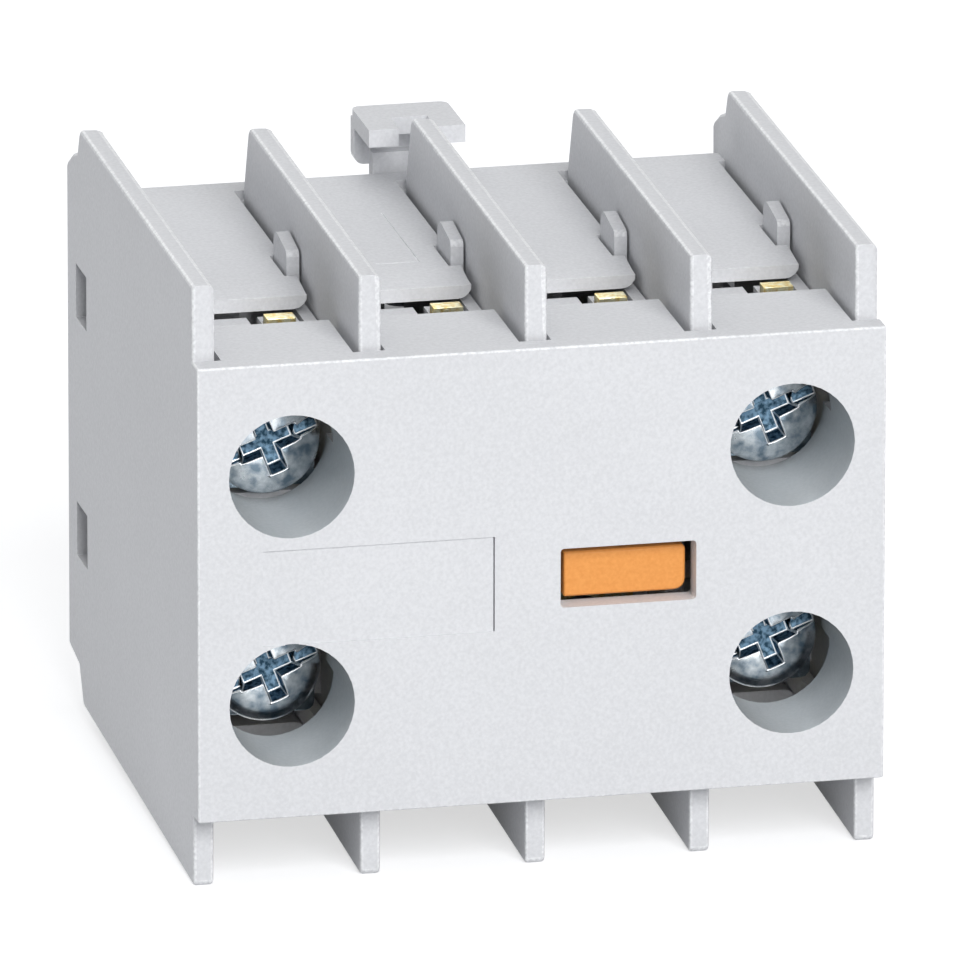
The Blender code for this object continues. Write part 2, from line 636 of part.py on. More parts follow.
def housing_cuts():
    """What is cut out of the joined housing: tab notches, seats, the mechanism's room and the side slots."""
    removed = []
    for left, right in CHANNELS:
        notch = (right - TAB_OFFSET - TAB_THICKNESS - TAB_CLEARANCE, right - ROOF_SLOT_WIDTH / 2)
        for low, high in both_sides(ROOF_UNDERSIDE - OVERSHOOT, BODY_TOP + OVERSHOOT):
            removed.append(block(notch, (TAB_FRONT - GAP, TAB_FRONT + TAB_LENGTH + GAP), (low, high)))
    for x in POLE_POSITIONS:
        for z in (SCREW_Z, -SCREW_Z):
            removed.append(rod((x, z), SEAT_HOLE_RADIUS, PLATE_REAR, PLATE_REAR + SEAT_HOLE_DEPTH, sides=24))
    bar = CARRIER_HALF_HEIGHT + GAP
    span = SCREW_X + CARRIER_END_WALL + GAP
    passage = (CARRIER_FRONT - GAP, CARRIER_REAR + STROKE + GAP)
    removed.append(block((-span, span), passage, (-bar, bar)))
    coil = RETURN_COIL_RADIUS + RETURN_WIRE_RADIUS + GAP
    removed.append(block((-FIN_THICKNESS, FIN_THICKNESS), (CARRIER_REAR, REAR_WALL_FRONT), (-coil, coil)))
    stem_x = STEM_HALF_WIDTH + GAP
    stem_z = STEM_HALF_HEIGHT + GAP
    through_wall = (REAR_WALL_FRONT - OVERSHOOT, REAR_WALL_DEPTH + OVERSHOOT)
    removed.append(block((-stem_x, stem_x), through_wall, (-stem_z, stem_z)))
    latch_coil = LATCH_COIL_RADIUS + LATCH_WIRE_RADIUS + GAP
    coil_depth = (REAR_WALL_FRONT - OVERSHOOT, REAR_WALL_DEPTH + STEP)
    removed.append(block((-latch_coil, latch_coil), coil_depth, (SHELF_TOP, LATCH_STEM_BOTTOM)))
    slot_y = (SIDE_SLOT_Y - SIDE_SLOT_DEPTH / 2, SIDE_SLOT_Y + SIDE_SLOT_DEPTH / 2)
    for z in SIDE_SLOT_Z:
        slot_z = (z - SIDE_SLOT_HEIGHT / 2, z + SIDE_SLOT_HEIGHT / 2)
        removed.append(block((-FAR, -WALL_INSIDE + BITE), slot_y, slot_z))
        removed.append(block((WALL_INSIDE - BITE, FAR), slot_y, slot_z))
    tube_room = SCREW_X + BORE_RADIUS + BORE_WALL + GAP
    room_z = SKIRT_UNDERSIDE - GAP
    for side in (-1, 1):
        thinned = sorted((side * (WALL_INSIDE - BITE), side * tube_room))
        removed.append(block(thinned, (0.0, TROUGH_LENGTH + GAP), (-room_z, room_z)))
    return removed


def make_housing():
    wall = side_wall_outline()
    housing = upright_plate(wall, -WALL_OUTSIDE, -WALL_INSIDE, -WALL_OUTSIDE)
    added = [upright_plate(wall, WALL_INSIDE, WALL_OUTSIDE, WALL_OUTSIDE)]
    inner_fin = partition_outline()
    for x in FIN_POSITIONS:
        added.append(upright_plate(inner_fin, x - FIN_THICKNESS / 2, x + FIN_THICKNESS / 2, x))
    across = (-WALL_INSIDE - BITE, WALL_INSIDE + BITE)
    added.append(block(across, (REAR_WALL_FRONT, REAR_WALL_DEPTH), (-BODY_TOP, BODY_TOP)))
    for x, (left, right) in zip(POLE_POSITIONS, CHANNELS):
        for side in (1, -1):
            added.append(roof_plate(left, right, side))
            strip = sorted((side * ROOF_UNDERSIDE, side * BODY_TOP))
            strip_x = (right - ROOF_SLOT_WIDTH - BITE, right + BITE)
            added.append(block(strip_x, (ROOF_SLOT_END, REAR_WALL_DEPTH), strip))
            added += pole_seats(x, left, right, side)
    for side in (-1, 1):
        for top in CLAW_TOPS:
            added.append(claw(side * (FACE_WIDTH / 2 - CLAW_INSET), top))
    union(housing, *added, *latch_guide())
    cut(housing, *housing_cuts())
    finish(housing, "housing", (0, 0, 0), GREY, 0.45)


# Front cover: one grey moulding with face, skirts, screw tubes, window and snap arms
def screw_tube(x, side):
    """A tube round one screw bore. Its inner half runs on as a trough that guides the screwdriver."""
    radius = BORE_RADIUS + BORE_WALL
    tube = rod((x, side * SCREW_Z), radius, FACE_THICKNESS / 2, BORE_LENGTH, sides=40)
    trough = rod((x, side * SCREW_Z), radius, FACE_THICKNESS / 2, TROUGH_LENGTH, sides=40)
    outer_half = sorted((side * SCREW_Z, side * FAR))
    cut(trough, block((-FAR, FAR), (-FAR, FAR), outer_half))
    return [tube, trough]


def snap_arm(right, side):
    """An arm that runs back under the roof, with a head that stands up through the roof's slot."""
    outside = right - TAB_OFFSET
    rear = TAB_FRONT + TAB_LENGTH
    arm_bottom = ARM_TOP - ARM_HEIGHT
    skirt_end = SKIRT_DEPTH - ARM_OVERLAP
    skirt_middle = BODY_TOP - SKIRT_THICKNESS / 2
    outline = [
        (ARM_ROOT, arm_bottom),
        (rear, arm_bottom),
        (rear, BODY_TOP + TAB_STAND_REAR, TAB_REAR_RADIUS),
        (TAB_FRONT, BODY_TOP + TAB_STAND_FRONT, TAB_FRONT_RADIUS),
        (TAB_FRONT, ARM_TOP),
        (skirt_end, ARM_TOP),
        (skirt_end, skirt_middle),
        (ARM_ROOT, skirt_middle),
    ]
    return prism([(y, side * z) for y, z in fillet(outline)], "x", outside - TAB_THICKNESS, outside)


def face_plate():
    """The face, with its corners and its front rim rounded."""
    half_width = FACE_WIDTH / 2
    outline = rounded_rectangle((-half_width, half_width), (-BODY_TOP, BODY_TOP), FACE_EDGE_RADIUS)
    face = prism(outline, "y", 0.0, FACE_THICKNESS)
    bm = bmesh.new()
    bm.from_mesh(face.data)
    front_rim = [e for e in bm.edges if max(v.co.y for v in e.verts) < FACE_EDGE_RADIUS / 10]
    rounding = {"offset": FACE_EDGE_RADIUS, "segments": 3, "profile": 0.5}
    bmesh.ops.bevel(bm, geom=front_rim, affect="EDGES", clamp_overlap=True, **rounding)
    bm.to_mesh(face.data)
    bm.free()
    return face


def cover_cuts():
    """What is cut out of the joined cover: screw bores, fin slots, window and label recess."""
    removed = []
    for x in (-SCREW_X, SCREW_X):
        for z in (-SCREW_Z, SCREW_Z):
            removed.append(rod((x, z), BORE_RADIUS, -OVERSHOOT, TROUGH_LENGTH + OVERSHOOT, sides=40))
    for x in FIN_POSITIONS:
        slot = (x - FIN_THICKNESS / 2 - SLOT_LEFT_CLEARANCE, x + FIN_THICKNESS / 2 + SLOT_RIGHT_CLEARANCE)
        for low, high in both_sides(SKIRT_UNDERSIDE - OVERSHOOT, BODY_TOP + OVERSHOOT):
            removed.append(block(slot, (FACE_THICKNESS, SKIRT_DEPTH + OVERSHOOT), (low, high)))
    window_x = (WINDOW_X - WINDOW_WIDTH / 2, WINDOW_X + WINDOW_WIDTH / 2)
    window_z = (WINDOW_Z - WINDOW_HEIGHT / 2, WINDOW_Z + WINDOW_HEIGHT / 2)
    window = rounded_rectangle(window_x, window_z, WINDOW_CORNER_RADIUS, 2)
    removed.append(prism(window, "y", -OVERSHOOT, FACE_THICKNESS + OVERSHOOT))
    label_x = (LABEL_X - LABEL_WIDTH / 2, LABEL_X + LABEL_WIDTH / 2)
    label_z = (LABEL_Z - LABEL_HEIGHT / 2, LABEL_Z + LABEL_HEIGHT / 2)
    removed.append(block(label_x, (-OVERSHOOT, LABEL_DEPTH), label_z))
    return removed


def make_front_cover():
    cover = face_plate()
    inside = WALL_INSIDE - GAP
    added = []
    for low, high in both_sides(SKIRT_UNDERSIDE, BODY_TOP):
        added.append(block((-inside, inside), (FACE_THICKNESS / 2, SKIRT_DEPTH), (low, high)))
    for side in (1, -1):
        for x in (-SCREW_X, SCREW_X):
            added += screw_tube(x, side)
    union(cover, *added)
    cut(cover, *cover_cuts())
    union(cover, *[snap_arm(right, side) for left, right in CHANNELS for side in (1, -1)])
    finish(cover, "front_cover", (0, 0, 0), GREY, 0.45)


# Terminal plates: brass strips, one above and one below in each pole, the upper ones with ears
def contact_leg(tip_front):
    """The strip's lower end, which turns in to carry a contact, or stays straight with no bridge."""
    leg_top = PLATE_BOTTOM + LEG_THICKNESS
    leg = LEG_WIDTH / 2
    start = PLATE_REAR - RIVET_ROOT
    if tip_front is None:
        leg_rear = CLOSED_TIP_FRONT + LEG_THICKNESS
        return block((-leg, leg), (start, leg_rear), (PLATE_BOTTOM, leg_top))
    tip_rear = tip_front + LEG_THICKNESS
    outline = [
        (start, PLATE_BOTTOM),
        (start, leg_top),
        (tip_rear, leg_top, LEG_BEND_RADIUS),
        (tip_rear, TIP_BOTTOM),
        (tip_front, TIP_BOTTOM),
        (tip_front, PLATE_BOTTOM),
    ]
    return prism(fillet(outline, 3), "x", -leg, leg)


def make_terminal(name, x, side, tip_front, rivet_behind):
    """tip_front is where the strip turns in to its contact, or None in a pole with no bridge."""
    half = PLATE_WIDTH / 2
    plate = block((-half, half), (PLATE_FRONT, PLATE_REAR), (PLATE_BOTTOM, PLATE_TOP))
    added = [contact_leg(tip_front)]
    if side > 0:
        ear_x = (EAR_OFFSET - EAR_WIDTH / 2, EAR_OFFSET + EAR_WIDTH / 2)
        added.append(block(ear_x, (PLATE_FRONT, PLATE_REAR), (PLATE_TOP - RIVET_ROOT, EAR_TOP)))
    if tip_front is not None:
        tip_rear = tip_front + LEG_THICKNESS
        rivet = (tip_rear - RIVET_ROOT, tip_rear + RIVET_HEIGHT)
        if not rivet_behind:
            rivet = (tip_front - RIVET_HEIGHT, tip_front + RIVET_ROOT)
        added.append(rod((0.0, RIVET_Z), RIVET_RADIUS, *rivet, sides=16))
    union(plate, *added)
    cut(plate, rod((0.0, SCREW_Z), SHANK_HOLE_RADIUS, 0.0, PLATE_REAR + STEP, sides=24))
    if side < 0:
        plate.data.transform(Matrix.Diagonal((1.0, 1.0, -1.0, 1.0)))
        plate.data.flip_normals()
    finish(plate, name, (x, 0, 0), BRASS, 0.3, 1.0)


# Terminal screws: zinc-plated pan heads with a combined slot and cross recess
def make_screw(name, x, side):
    """The origin is on the screw's axis, at the crown of the head."""
    end = HEAD_HEIGHT + SHANK_LENGTH
    profile = [(0.0, 0.0)]
    dome_steps = 5
    for step in range(1, dome_steps + 1):
        angle = math.pi / 2 * step / dome_steps
        profile.append((HEAD_RADIUS * math.sin(angle), HEAD_CROWN * (1 - math.cos(angle))))
    profile += [
        (HEAD_RADIUS, HEAD_CROWN + HEAD_RIM),
        (HEAD_RADIUS - HEAD_CHAMFER, HEAD_HEIGHT),
        (SHANK_RADIUS, HEAD_HEIGHT),
        (SHANK_RADIUS, end - SHANK_POINT_LENGTH),
        (SHANK_RADIUS - SHANK_POINT_DROP, end),
        (0.0, end),
    ]
    screw = turned(profile, 28)
    past_head = HEAD_RADIUS + OVERSHOOT
    slot = SLOT_CUT_WIDTH / 2
    wide = RECESS_WIDTH / 2
    recess = union(
        block((-past_head, past_head), (-OVERSHOOT, SLOT_CUT_DEPTH), (-slot, slot)),
        block((-wide, wide), (-OVERSHOOT, RECESS_DEPTH), (-RECESS_REACH, RECESS_REACH)),
        block((-RECESS_REACH, RECESS_REACH), (-OVERSHOOT, RECESS_DEPTH), (-wide, wide)),
    )
    cut(screw, recess)
    finish(screw, name, (x, HEAD_FRONT, side * SCREW_Z), ZINC, 0.25, 1.0)
    screw.rotation_euler = (0.0, math.radians(-RECESS_TURN), 0.0)


# Clamp washers: square zinc-plated plates held under the screw heads
def make_washer(name, x, side):
    half = WASHER_SIDE / 2
    outline = rounded_rectangle((-half, half), (-half, half), WASHER_CORNER_RADIUS)
    washer = prism(outline, "y", 0.0, WASHER_THICKNESS)
    cut(washer, rod((0.0, 0.0), SHANK_HOLE_RADIUS, -OVERSHOOT, WASHER_THICKNESS + OVERSHOOT, sides=24))
    finish(washer, name, (x, WASHER_FRONT, side * SCREW_Z), ZINC, 0.3, 1.0)


# Bridge contacts: silver-plated bars with a contact button at each end
def make_bridge(name, x, front, contacts_behind):
    half_width = BRIDGE_WIDTH / 2
    half_length = BRIDGE_LENGTH / 2
    bar = rounded_rectangle((-half_width, half_width), (-half_length, half_length), BRIDGE_CORNER_RADIUS)
    bridge = prism(bar, "y", 0.0, BRIDGE_THICKNESS)
    button = (-RIVET_HEIGHT, RIVET_ROOT)
    if contacts_behind:
        button = (BRIDGE_THICKNESS - RIVET_ROOT, BRIDGE_THICKNESS + RIVET_HEIGHT)
    union(bridge, *[rod((0.0, z), BUTTON_RADIUS, *button, sides=16) for z in (-RIVET_Z, RIVET_Z)])
    finish(bridge, name, (x, front, 0), SILVER, 0.3, 1.0)


# Carrier: charcoal moulding that spans the four poles and slides backwards
def carrier_stem(depth, stem_end):
    """The stem that the contactor's armature pushes, with a chamfered end."""
    chamfer = STEM_HALF_HEIGHT - STEM_CHAMFER_HEIGHT
    chamfer_start = stem_end - STEM_CHAMFER_LENGTH
    outline = [
        (depth - BITE, -STEM_HALF_HEIGHT),
        (chamfer_start, -STEM_HALF_HEIGHT),
        (stem_end, -chamfer),
        (stem_end, chamfer),
        (chamfer_start, STEM_HALF_HEIGHT),
        (depth - BITE, STEM_HALF_HEIGHT),
    ]
    return prism(outline, "x", -STEM_HALF_WIDTH, STEM_HALF_WIDTH)


def make_carrier():
    half_span = SCREW_X + CARRIER_END_WALL
    height = (-CARRIER_HALF_HEIGHT, CARRIER_HALF_HEIGHT)
    depth = CARRIER_REAR - CARRIER_FRONT
    carrier = block((-half_span, half_span), (0.0, depth), height)
    peg_front = INDICATOR_FRONT + INDICATOR_LENGTH - INDICATOR_SOCKET + GAP - CARRIER_FRONT
    neck_x = (WINDOW_X - NECK_HALF_WIDTH, WINDOW_X + NECK_HALF_WIDTH)
    neck_z = (INDICATOR_Z - NECK_HALF_HEIGHT, INDICATOR_Z + NECK_HALF_HEIGHT)
    stem_end = STEM_END - CARRIER_FRONT
    union(carrier, carrier_stem(depth, stem_end), block(neck_x, (peg_front, BITE), neck_z))
    front = CARRIER_WINDOW_FRONT - CARRIER_FRONT
    rear = CARRIER_WINDOW_REAR - CARRIER_FRONT
    half = CARRIER_WINDOW_WIDTH / 2
    windows = [block((x - half, x + half), (front, rear), (-FAR, FAR)) for x in POLE_POSITIONS]
    groove_rear = stem_end - GROOVE_SETBACK
    groove_z = (STEM_HALF_HEIGHT - GROOVE_DEPTH, FAR)
    groove = block((-FAR, FAR), (groove_rear - GROOVE_WIDTH, groove_rear), groove_z)
    cut(carrier, *windows, groove)
    finish(carrier, "contact_carrier", (0, CARRIER_FRONT, 0), CHARCOAL, 0.55)


def make_indicator():
    """An orange cap pressed on the carrier's neck, seen through the window in the face."""
    half_width = INDICATOR_WIDTH / 2
    half_height = INDICATOR_HEIGHT / 2
    face = [
        (-half_width, -half_height),
        (half_width, -half_height, INDICATOR_LOWER_RADIUS),
        (half_width, half_height, INDICATOR_UPPER_RADIUS),
        (-half_width, half_height),
    ]
    cap = prism(fillet(face), "y", 0.0, INDICATOR_LENGTH, INDICATOR_EDGE_RADIUS)
    socket_x = (-NECK_HALF_WIDTH - GAP, NECK_HALF_WIDTH + GAP)
    socket_z = (-NECK_HALF_HEIGHT - GAP, NECK_HALF_HEIGHT + GAP)
    socket_y = (INDICATOR_LENGTH - INDICATOR_SOCKET, INDICATOR_LENGTH + OVERSHOOT)
    cut(cap, block(socket_x, socket_y, socket_z))
    finish(cap, "position_indicator", (WINDOW_X, INDICATOR_FRONT, INDICATOR_Z), ORANGE, 0.4)


# Coil springs with closed ends
def make_spring(name, location, axis, coil_radius, wire_radius, length, turns):
    """A coil from its origin along y or z. The end turns lie close together, as on a ground spring."""
    per_turn = 12
    points = []
    closed_pitch = 2.3 * wire_radius
    run = length - 2 * wire_radius
    open_pitch = (run - 2 * closed_pitch) / (turns - 2)
    for step in range(turns * per_turn + 1):
        turn = step / per_turn
        rise = closed_pitch * min(turn, 1.0)
        rise += open_pitch * min(max(turn - 1.0, 0.0), turns - 2)
        rise += closed_pitch * max(turn - (turns - 1), 0.0)
        angle = 2 * math.pi * turn
        across = (coil_radius * math.cos(angle), coil_radius * math.sin(angle))
        along = wire_radius + rise
        points.append((across[0], along, across[1]) if axis == "y" else (across[0], across[1], along))
    curve = bpy.data.curves.new(name, "CURVE")
    curve.dimensions = "3D"
    curve.bevel_depth = wire_radius
    curve.bevel_resolution = 1
    curve.use_fill_caps = True
    spline = curve.splines.new("POLY")
    spline.points.add(len(points) - 1)
    for point, place in zip(spline.points, points):
        point.co = (*place, 1.0)
    made = bpy.data.objects.new(name, curve)
    bpy.context.scene.collection.objects.link(made)
    finish(made, name, location, STEEL, 0.3, 1.0)


# Release latch: grey moulding with a finger pad, a rear leaf, a stem with a foot and a locking tooth
def make_latch():
    """The origin is on the stem's middle, at its lower end."""
    half = LATCH_WIDTH / 2
    notch = LATCH_NOTCH_WIDTH / 2
    pad = [
        (-half, LATCH_FRONT),
        (-notch, LATCH_FRONT),
        (-notch, LATCH_FRONT + LATCH_NOTCH_DEPTH),
        (notch, LATCH_FRONT + LATCH_NOTCH_DEPTH),
        (notch, LATCH_FRONT),
        (half, LATCH_FRONT),
        (half, LATCH_REAR, LATCH_CORNER_RADIUS),
        (-half, LATCH_REAR, LATCH_CORNER_RADIUS),
    ]
    latch = prism(fillet(pad), "z", LATCH_TOP - LATCH_THICKNESS, LATCH_TOP)
    leaf_top = LATCH_TOP - LATCH_THICKNESS / 2
    leaf = [
        (-half, LATCH_LEAF_BOTTOM, LATCH_CORNER_RADIUS),
        (half, LATCH_LEAF_BOTTOM, LATCH_CORNER_RADIUS),
        (half, leaf_top),
        (-half, leaf_top),
    ]
    stem_top = LATCH_LEAF_BOTTOM + LATCH_BRIDGE_THICKNESS
    stem_y = (LATCH_STEM_FRONT, LATCH_STEM_REAR)
    bridge_y = (LATCH_STEM_FRONT, LATCH_REAR - LATCH_THICKNESS / 2)
    tooth_top = RAIL_TOP - LATCH_TOOTH_SETBACK
    tooth_root = LATCH_STEM_REAR - STEP
    tooth_end = LATCH_STEM_REAR + LATCH_TOOTH_REACH
    tooth = [
        (tooth_root, tooth_top),
        (tooth_end, tooth_top),
        (tooth_end, tooth_top - LATCH_TOOTH_EDGE),
        (tooth_root, tooth_top - LATCH_TOOTH_HEIGHT),
    ]
    stem = LATCH_STEM_HALF_WIDTH
    foot = LATCH_FOOT_HALF_WIDTH
    foot_top = LATCH_STEM_BOTTOM + LATCH_FOOT_HEIGHT
    union(
        latch,
        prism(fillet(leaf), "y", LATCH_REAR - LATCH_THICKNESS, LATCH_REAR - STEP / 4),
        block((-stem, stem), bridge_y, (LATCH_LEAF_BOTTOM + STEP, stem_top)),
        block((-stem, stem), stem_y, (foot_top - STEP, stem_top - STEP)),
        block((-foot, foot), stem_y, (LATCH_STEM_BOTTOM, foot_top)),
        prism(tooth, "x", -LATCH_TOOTH_HALF_WIDTH, LATCH_TOOTH_HALF_WIDTH),
    )
    latch.data.transform(Matrix.Translation((0.0, -LATCH_STEM_FRONT, -LATCH_STEM_BOTTOM)))
    finish(latch, "release_latch", (0, LATCH_STEM_FRONT, LATCH_STEM_BOTTOM), GREY, 0.45)


def build():
    clear_scene()
    make_housing()
    make_front_cover()
    rows = {"upper": 1, "lower": -1}
    for row, side in rows.items():
        make_terminal(f"terminal_{row}_left", -SCREW_X, side, CLOSED_TIP_FRONT, True)
        make_terminal(f"terminal_{row}_right", SCREW_X, side, OPEN_TIP_FRONT, False)
        make_terminal(f"inner_terminal_{row}_left", -FIN_PITCH / 2, side, None, False)
        make_terminal(f"inner_terminal_{row}_right", FIN_PITCH / 2, side, None, False)
        for hand, x in (("left", -SCREW_X), ("right", SCREW_X)):
            make_washer(f"clamp_washer_{row}_{hand}", x, side)
            make_screw(f"terminal_screw_{row}_{hand}", x, side)
    make_carrier()
    make_indicator()
    make_bridge("bridge_contact_closed", -SCREW_X, BRIDGE_CLOSED_FRONT, False)
    make_bridge("bridge_contact_open", SCREW_X, BRIDGE_OPEN_FRONT, True)
    closed_seat = BRIDGE_CLOSED_FRONT + BRIDGE_THICKNESS + GAP
    contact_spring = (CONTACT_COIL_RADIUS, CONTACT_WIRE_RADIUS)
    closed_length = CARRIER_WINDOW_REAR - GAP - closed_seat
    make_spring("contact_spring_closed", (-SCREW_X, closed_seat, 0), "y", *contact_spring, closed_length, 6)
    open_seat = CARRIER_WINDOW_FRONT + GAP
    open_length = BRIDGE_OPEN_FRONT - GAP - open_seat
    make_spring("contact_spring_open", (SCREW_X, open_seat, 0), "y", *contact_spring, open_length, 6)
    return_length = REAR_WALL_FRONT - CARRIER_REAR - 2 * GAP
    return_place = (0, CARRIER_REAR + GAP, 0)
    make_spring("return_spring", return_place, "y", RETURN_COIL_RADIUS, RETURN_WIRE_RADIUS, return_length, 9)
    make_latch()
    coil_y = (LATCH_STEM_FRONT + LATCH_STEM_REAR) / 2 - LATCH_COIL_SETBACK
    latch_place = (0, coil_y, LATCH_SPRING_FLOOR)
    latch_coil = (LATCH_COIL_RADIUS, LATCH_WIRE_RADIUS, LATCH_SPRING_LENGTH)
    make_spring("latch_spring", latch_place, "z", *latch_coil, 6)


build()
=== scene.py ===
"""The looks of a clip-on auxiliary contact block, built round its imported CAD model.

It follows the block as it is assembled: housing, carrier and springs, terminals and screws, cover and latch,
then the studio that it is photographed in.
"""

import math

import bpy
from mathutils import Matrix, Vector


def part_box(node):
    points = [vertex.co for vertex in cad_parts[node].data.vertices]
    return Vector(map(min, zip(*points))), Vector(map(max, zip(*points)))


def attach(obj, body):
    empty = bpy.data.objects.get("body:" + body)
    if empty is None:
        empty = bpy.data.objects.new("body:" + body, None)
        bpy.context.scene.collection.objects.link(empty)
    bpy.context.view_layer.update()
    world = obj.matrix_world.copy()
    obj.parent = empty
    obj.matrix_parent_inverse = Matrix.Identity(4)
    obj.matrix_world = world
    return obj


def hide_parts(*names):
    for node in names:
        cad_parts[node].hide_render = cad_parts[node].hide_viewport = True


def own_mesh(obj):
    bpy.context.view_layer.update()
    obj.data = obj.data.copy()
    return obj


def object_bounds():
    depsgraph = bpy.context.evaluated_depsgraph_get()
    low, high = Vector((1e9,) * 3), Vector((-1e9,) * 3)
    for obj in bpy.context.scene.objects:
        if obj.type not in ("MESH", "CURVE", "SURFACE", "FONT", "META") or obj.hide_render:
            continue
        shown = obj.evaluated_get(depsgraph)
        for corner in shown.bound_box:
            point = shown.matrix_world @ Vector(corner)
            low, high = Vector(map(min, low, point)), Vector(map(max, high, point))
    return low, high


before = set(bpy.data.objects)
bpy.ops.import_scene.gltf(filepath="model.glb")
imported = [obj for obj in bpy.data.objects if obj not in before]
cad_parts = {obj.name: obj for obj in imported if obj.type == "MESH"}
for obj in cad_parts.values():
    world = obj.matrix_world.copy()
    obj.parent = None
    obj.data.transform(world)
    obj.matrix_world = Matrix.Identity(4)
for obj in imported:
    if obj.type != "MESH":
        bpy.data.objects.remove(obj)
cad_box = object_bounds()
bpy.ops.object.select_all(action="DESELECT")

# The housing is one injection moulding in light grey polyamide, with drafted fins and thin walls.
# A mould leaves every outer edge slightly rounded and a fine eroded grain on the surfaces, and one roof
# carries the faint outline of an insert in the mould.


def pick(piece):
    """Selects one piece alone and makes it the active one."""
    bpy.ops.object.select_all(action="DESELECT")
    piece.select_set(True)
    bpy.context.view_layer.objects.active = piece


MERGE_DISTANCE = 2e-6
FLAT_ANGLE = math.radians(0.5)


def cad_copy(node, name):
    """A copy of a CAD node with its triangles merged and its flat faces whole again."""
    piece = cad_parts[node].copy()
    piece.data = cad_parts[node].data.copy()
    piece.name = name
    piece.data.name = name
    for key in list(piece.keys()):
        del piece[key]
    piece.parent = None
    piece.matrix_world = Matrix()
    bpy.context.scene.collection.objects.link(piece)
    pick(piece)
    bpy.ops.object.mode_set(mode="EDIT")
    bpy.ops.mesh.select_all(action="SELECT")
    bpy.ops.mesh.remove_doubles(threshold=MERGE_DISTANCE)
    bpy.ops.mesh.dissolve_limited(angle_limit=FLAT_ANGLE)
    bpy.ops.object.mode_set(mode="OBJECT")
    return piece


def apply_modifier(piece, kind, **settings):
    """Adds a modifier with its settings and applies it at once."""
    pick(piece)
    modifier = piece.modifiers.new(kind.lower(), kind)
    for key, value in settings.items():
        setattr(modifier, key, value)
    bpy.ops.object.modifier_apply(modifier=modifier.name)


def cut_with(piece, cutter):
    """Cuts one closed piece out of another, and removes the cutter."""
    apply_modifier(piece, "BOOLEAN", object=cutter, operation="DIFFERENCE", solver="EXACT")
    bpy.data.objects.remove(cutter, do_unlink=True)


def box_between(low, high):
    """A block between two corners, made active, with its place in its mesh."""
    size = [high[axis] - low[axis] for axis in range(3)]
    middle = [(high[axis] + low[axis]) / 2 for axis in range(3)]
    bpy.ops.object.select_all(action="DESELECT")
    bpy.ops.mesh.primitive_cube_add(size=1.0, location=middle, scale=size)
    bpy.ops.object.transform_apply()
    return bpy.context.object


EDGE_ANGLE = math.radians(35)


def round_edges(piece, width, segments=2):
    """Rounds a piece's edges by the given width and shades it smooth between the flats."""
    sharp = {"limit_method": "ANGLE", "angle_limit": EDGE_ANGLE}
    apply_modifier(piece, "BEVEL", width=width, segments=segments, **sharp)
    bpy.ops.object.shade_smooth_by_angle(angle=EDGE_ANGLE)
    apply_modifier(piece, "WEIGHTED_NORMAL", keep_sharp=True, weight=100)


def linear(code):
    """A Blender colour from an sRGB hex code."""
    channels = [int(code[place : place + 2], 16) / 255 for place in (1, 3, 5)]
    return [c / 12.92 if c <= 0.04045 else ((c + 0.055) / 1.055) ** 2.4 for c in channels] + [1.0]


def add_node(tree, kind, settings=None, **links):
    """Adds a shader node, sets its values and links its inputs. A dict key names a property or an input."""
    node = tree.nodes.new(kind)
    for key, value in (settings or {}).items():
        if isinstance(key, str) and hasattr(node, key):
            setattr(node, key, value)
        else:
            node.inputs[key].default_value = value
    for key, source in links.items():
        tree.links.new(source, node.inputs[key.replace("_", " ")])
    return node


def new_material(name):
    """An empty Principled material, its node tree, its shader and the place on the block."""
    material = bpy.data.materials.new(name)
    material.use_nodes = True
    tree = material.node_tree
    place = add_node(tree, "ShaderNodeTexCoord").outputs["Object"]
    return material, tree, tree.nodes["Principled BSDF"], place


def two_tone(tree, shader, factor, dark, pale, start, end):
    """Colours a shader from dark to pale as a factor goes from start to end."""
    ramp = add_node(tree, "ShaderNodeValToRGB", Fac=factor)
    ramp.color_ramp.elements[0].position = start
    ramp.color_ramp.elements[0].color = linear(dark)
    ramp.color_ramp.elements[1].position = end
    ramp.color_ramp.elements[1].color = linear(pale)
    tree.links.new(ramp.outputs["Color"], shader.inputs["Base Color"])


# A mould leaves an eroded grain, and faint clouds of about 11 mm where the melt flowed. The real grain is
# finer than 0.1 mm, and is drawn as coarse as it needs to be to show, 0.24 mm.
GRAINS_PER_METRE = 4200.0
CLOUDS_PER_METRE = 90.0
CLOUD_SHARE = 0.3
GRAIN_HEIGHT = 0.00002
PLASTIC_IOR = 1.5
PLASTIC_SPECULAR = 0.35
# Turned off the axes, the pattern is equally strong on every flat wall.
PATTERN_TURN = (0.6, 0.5, 0.4)


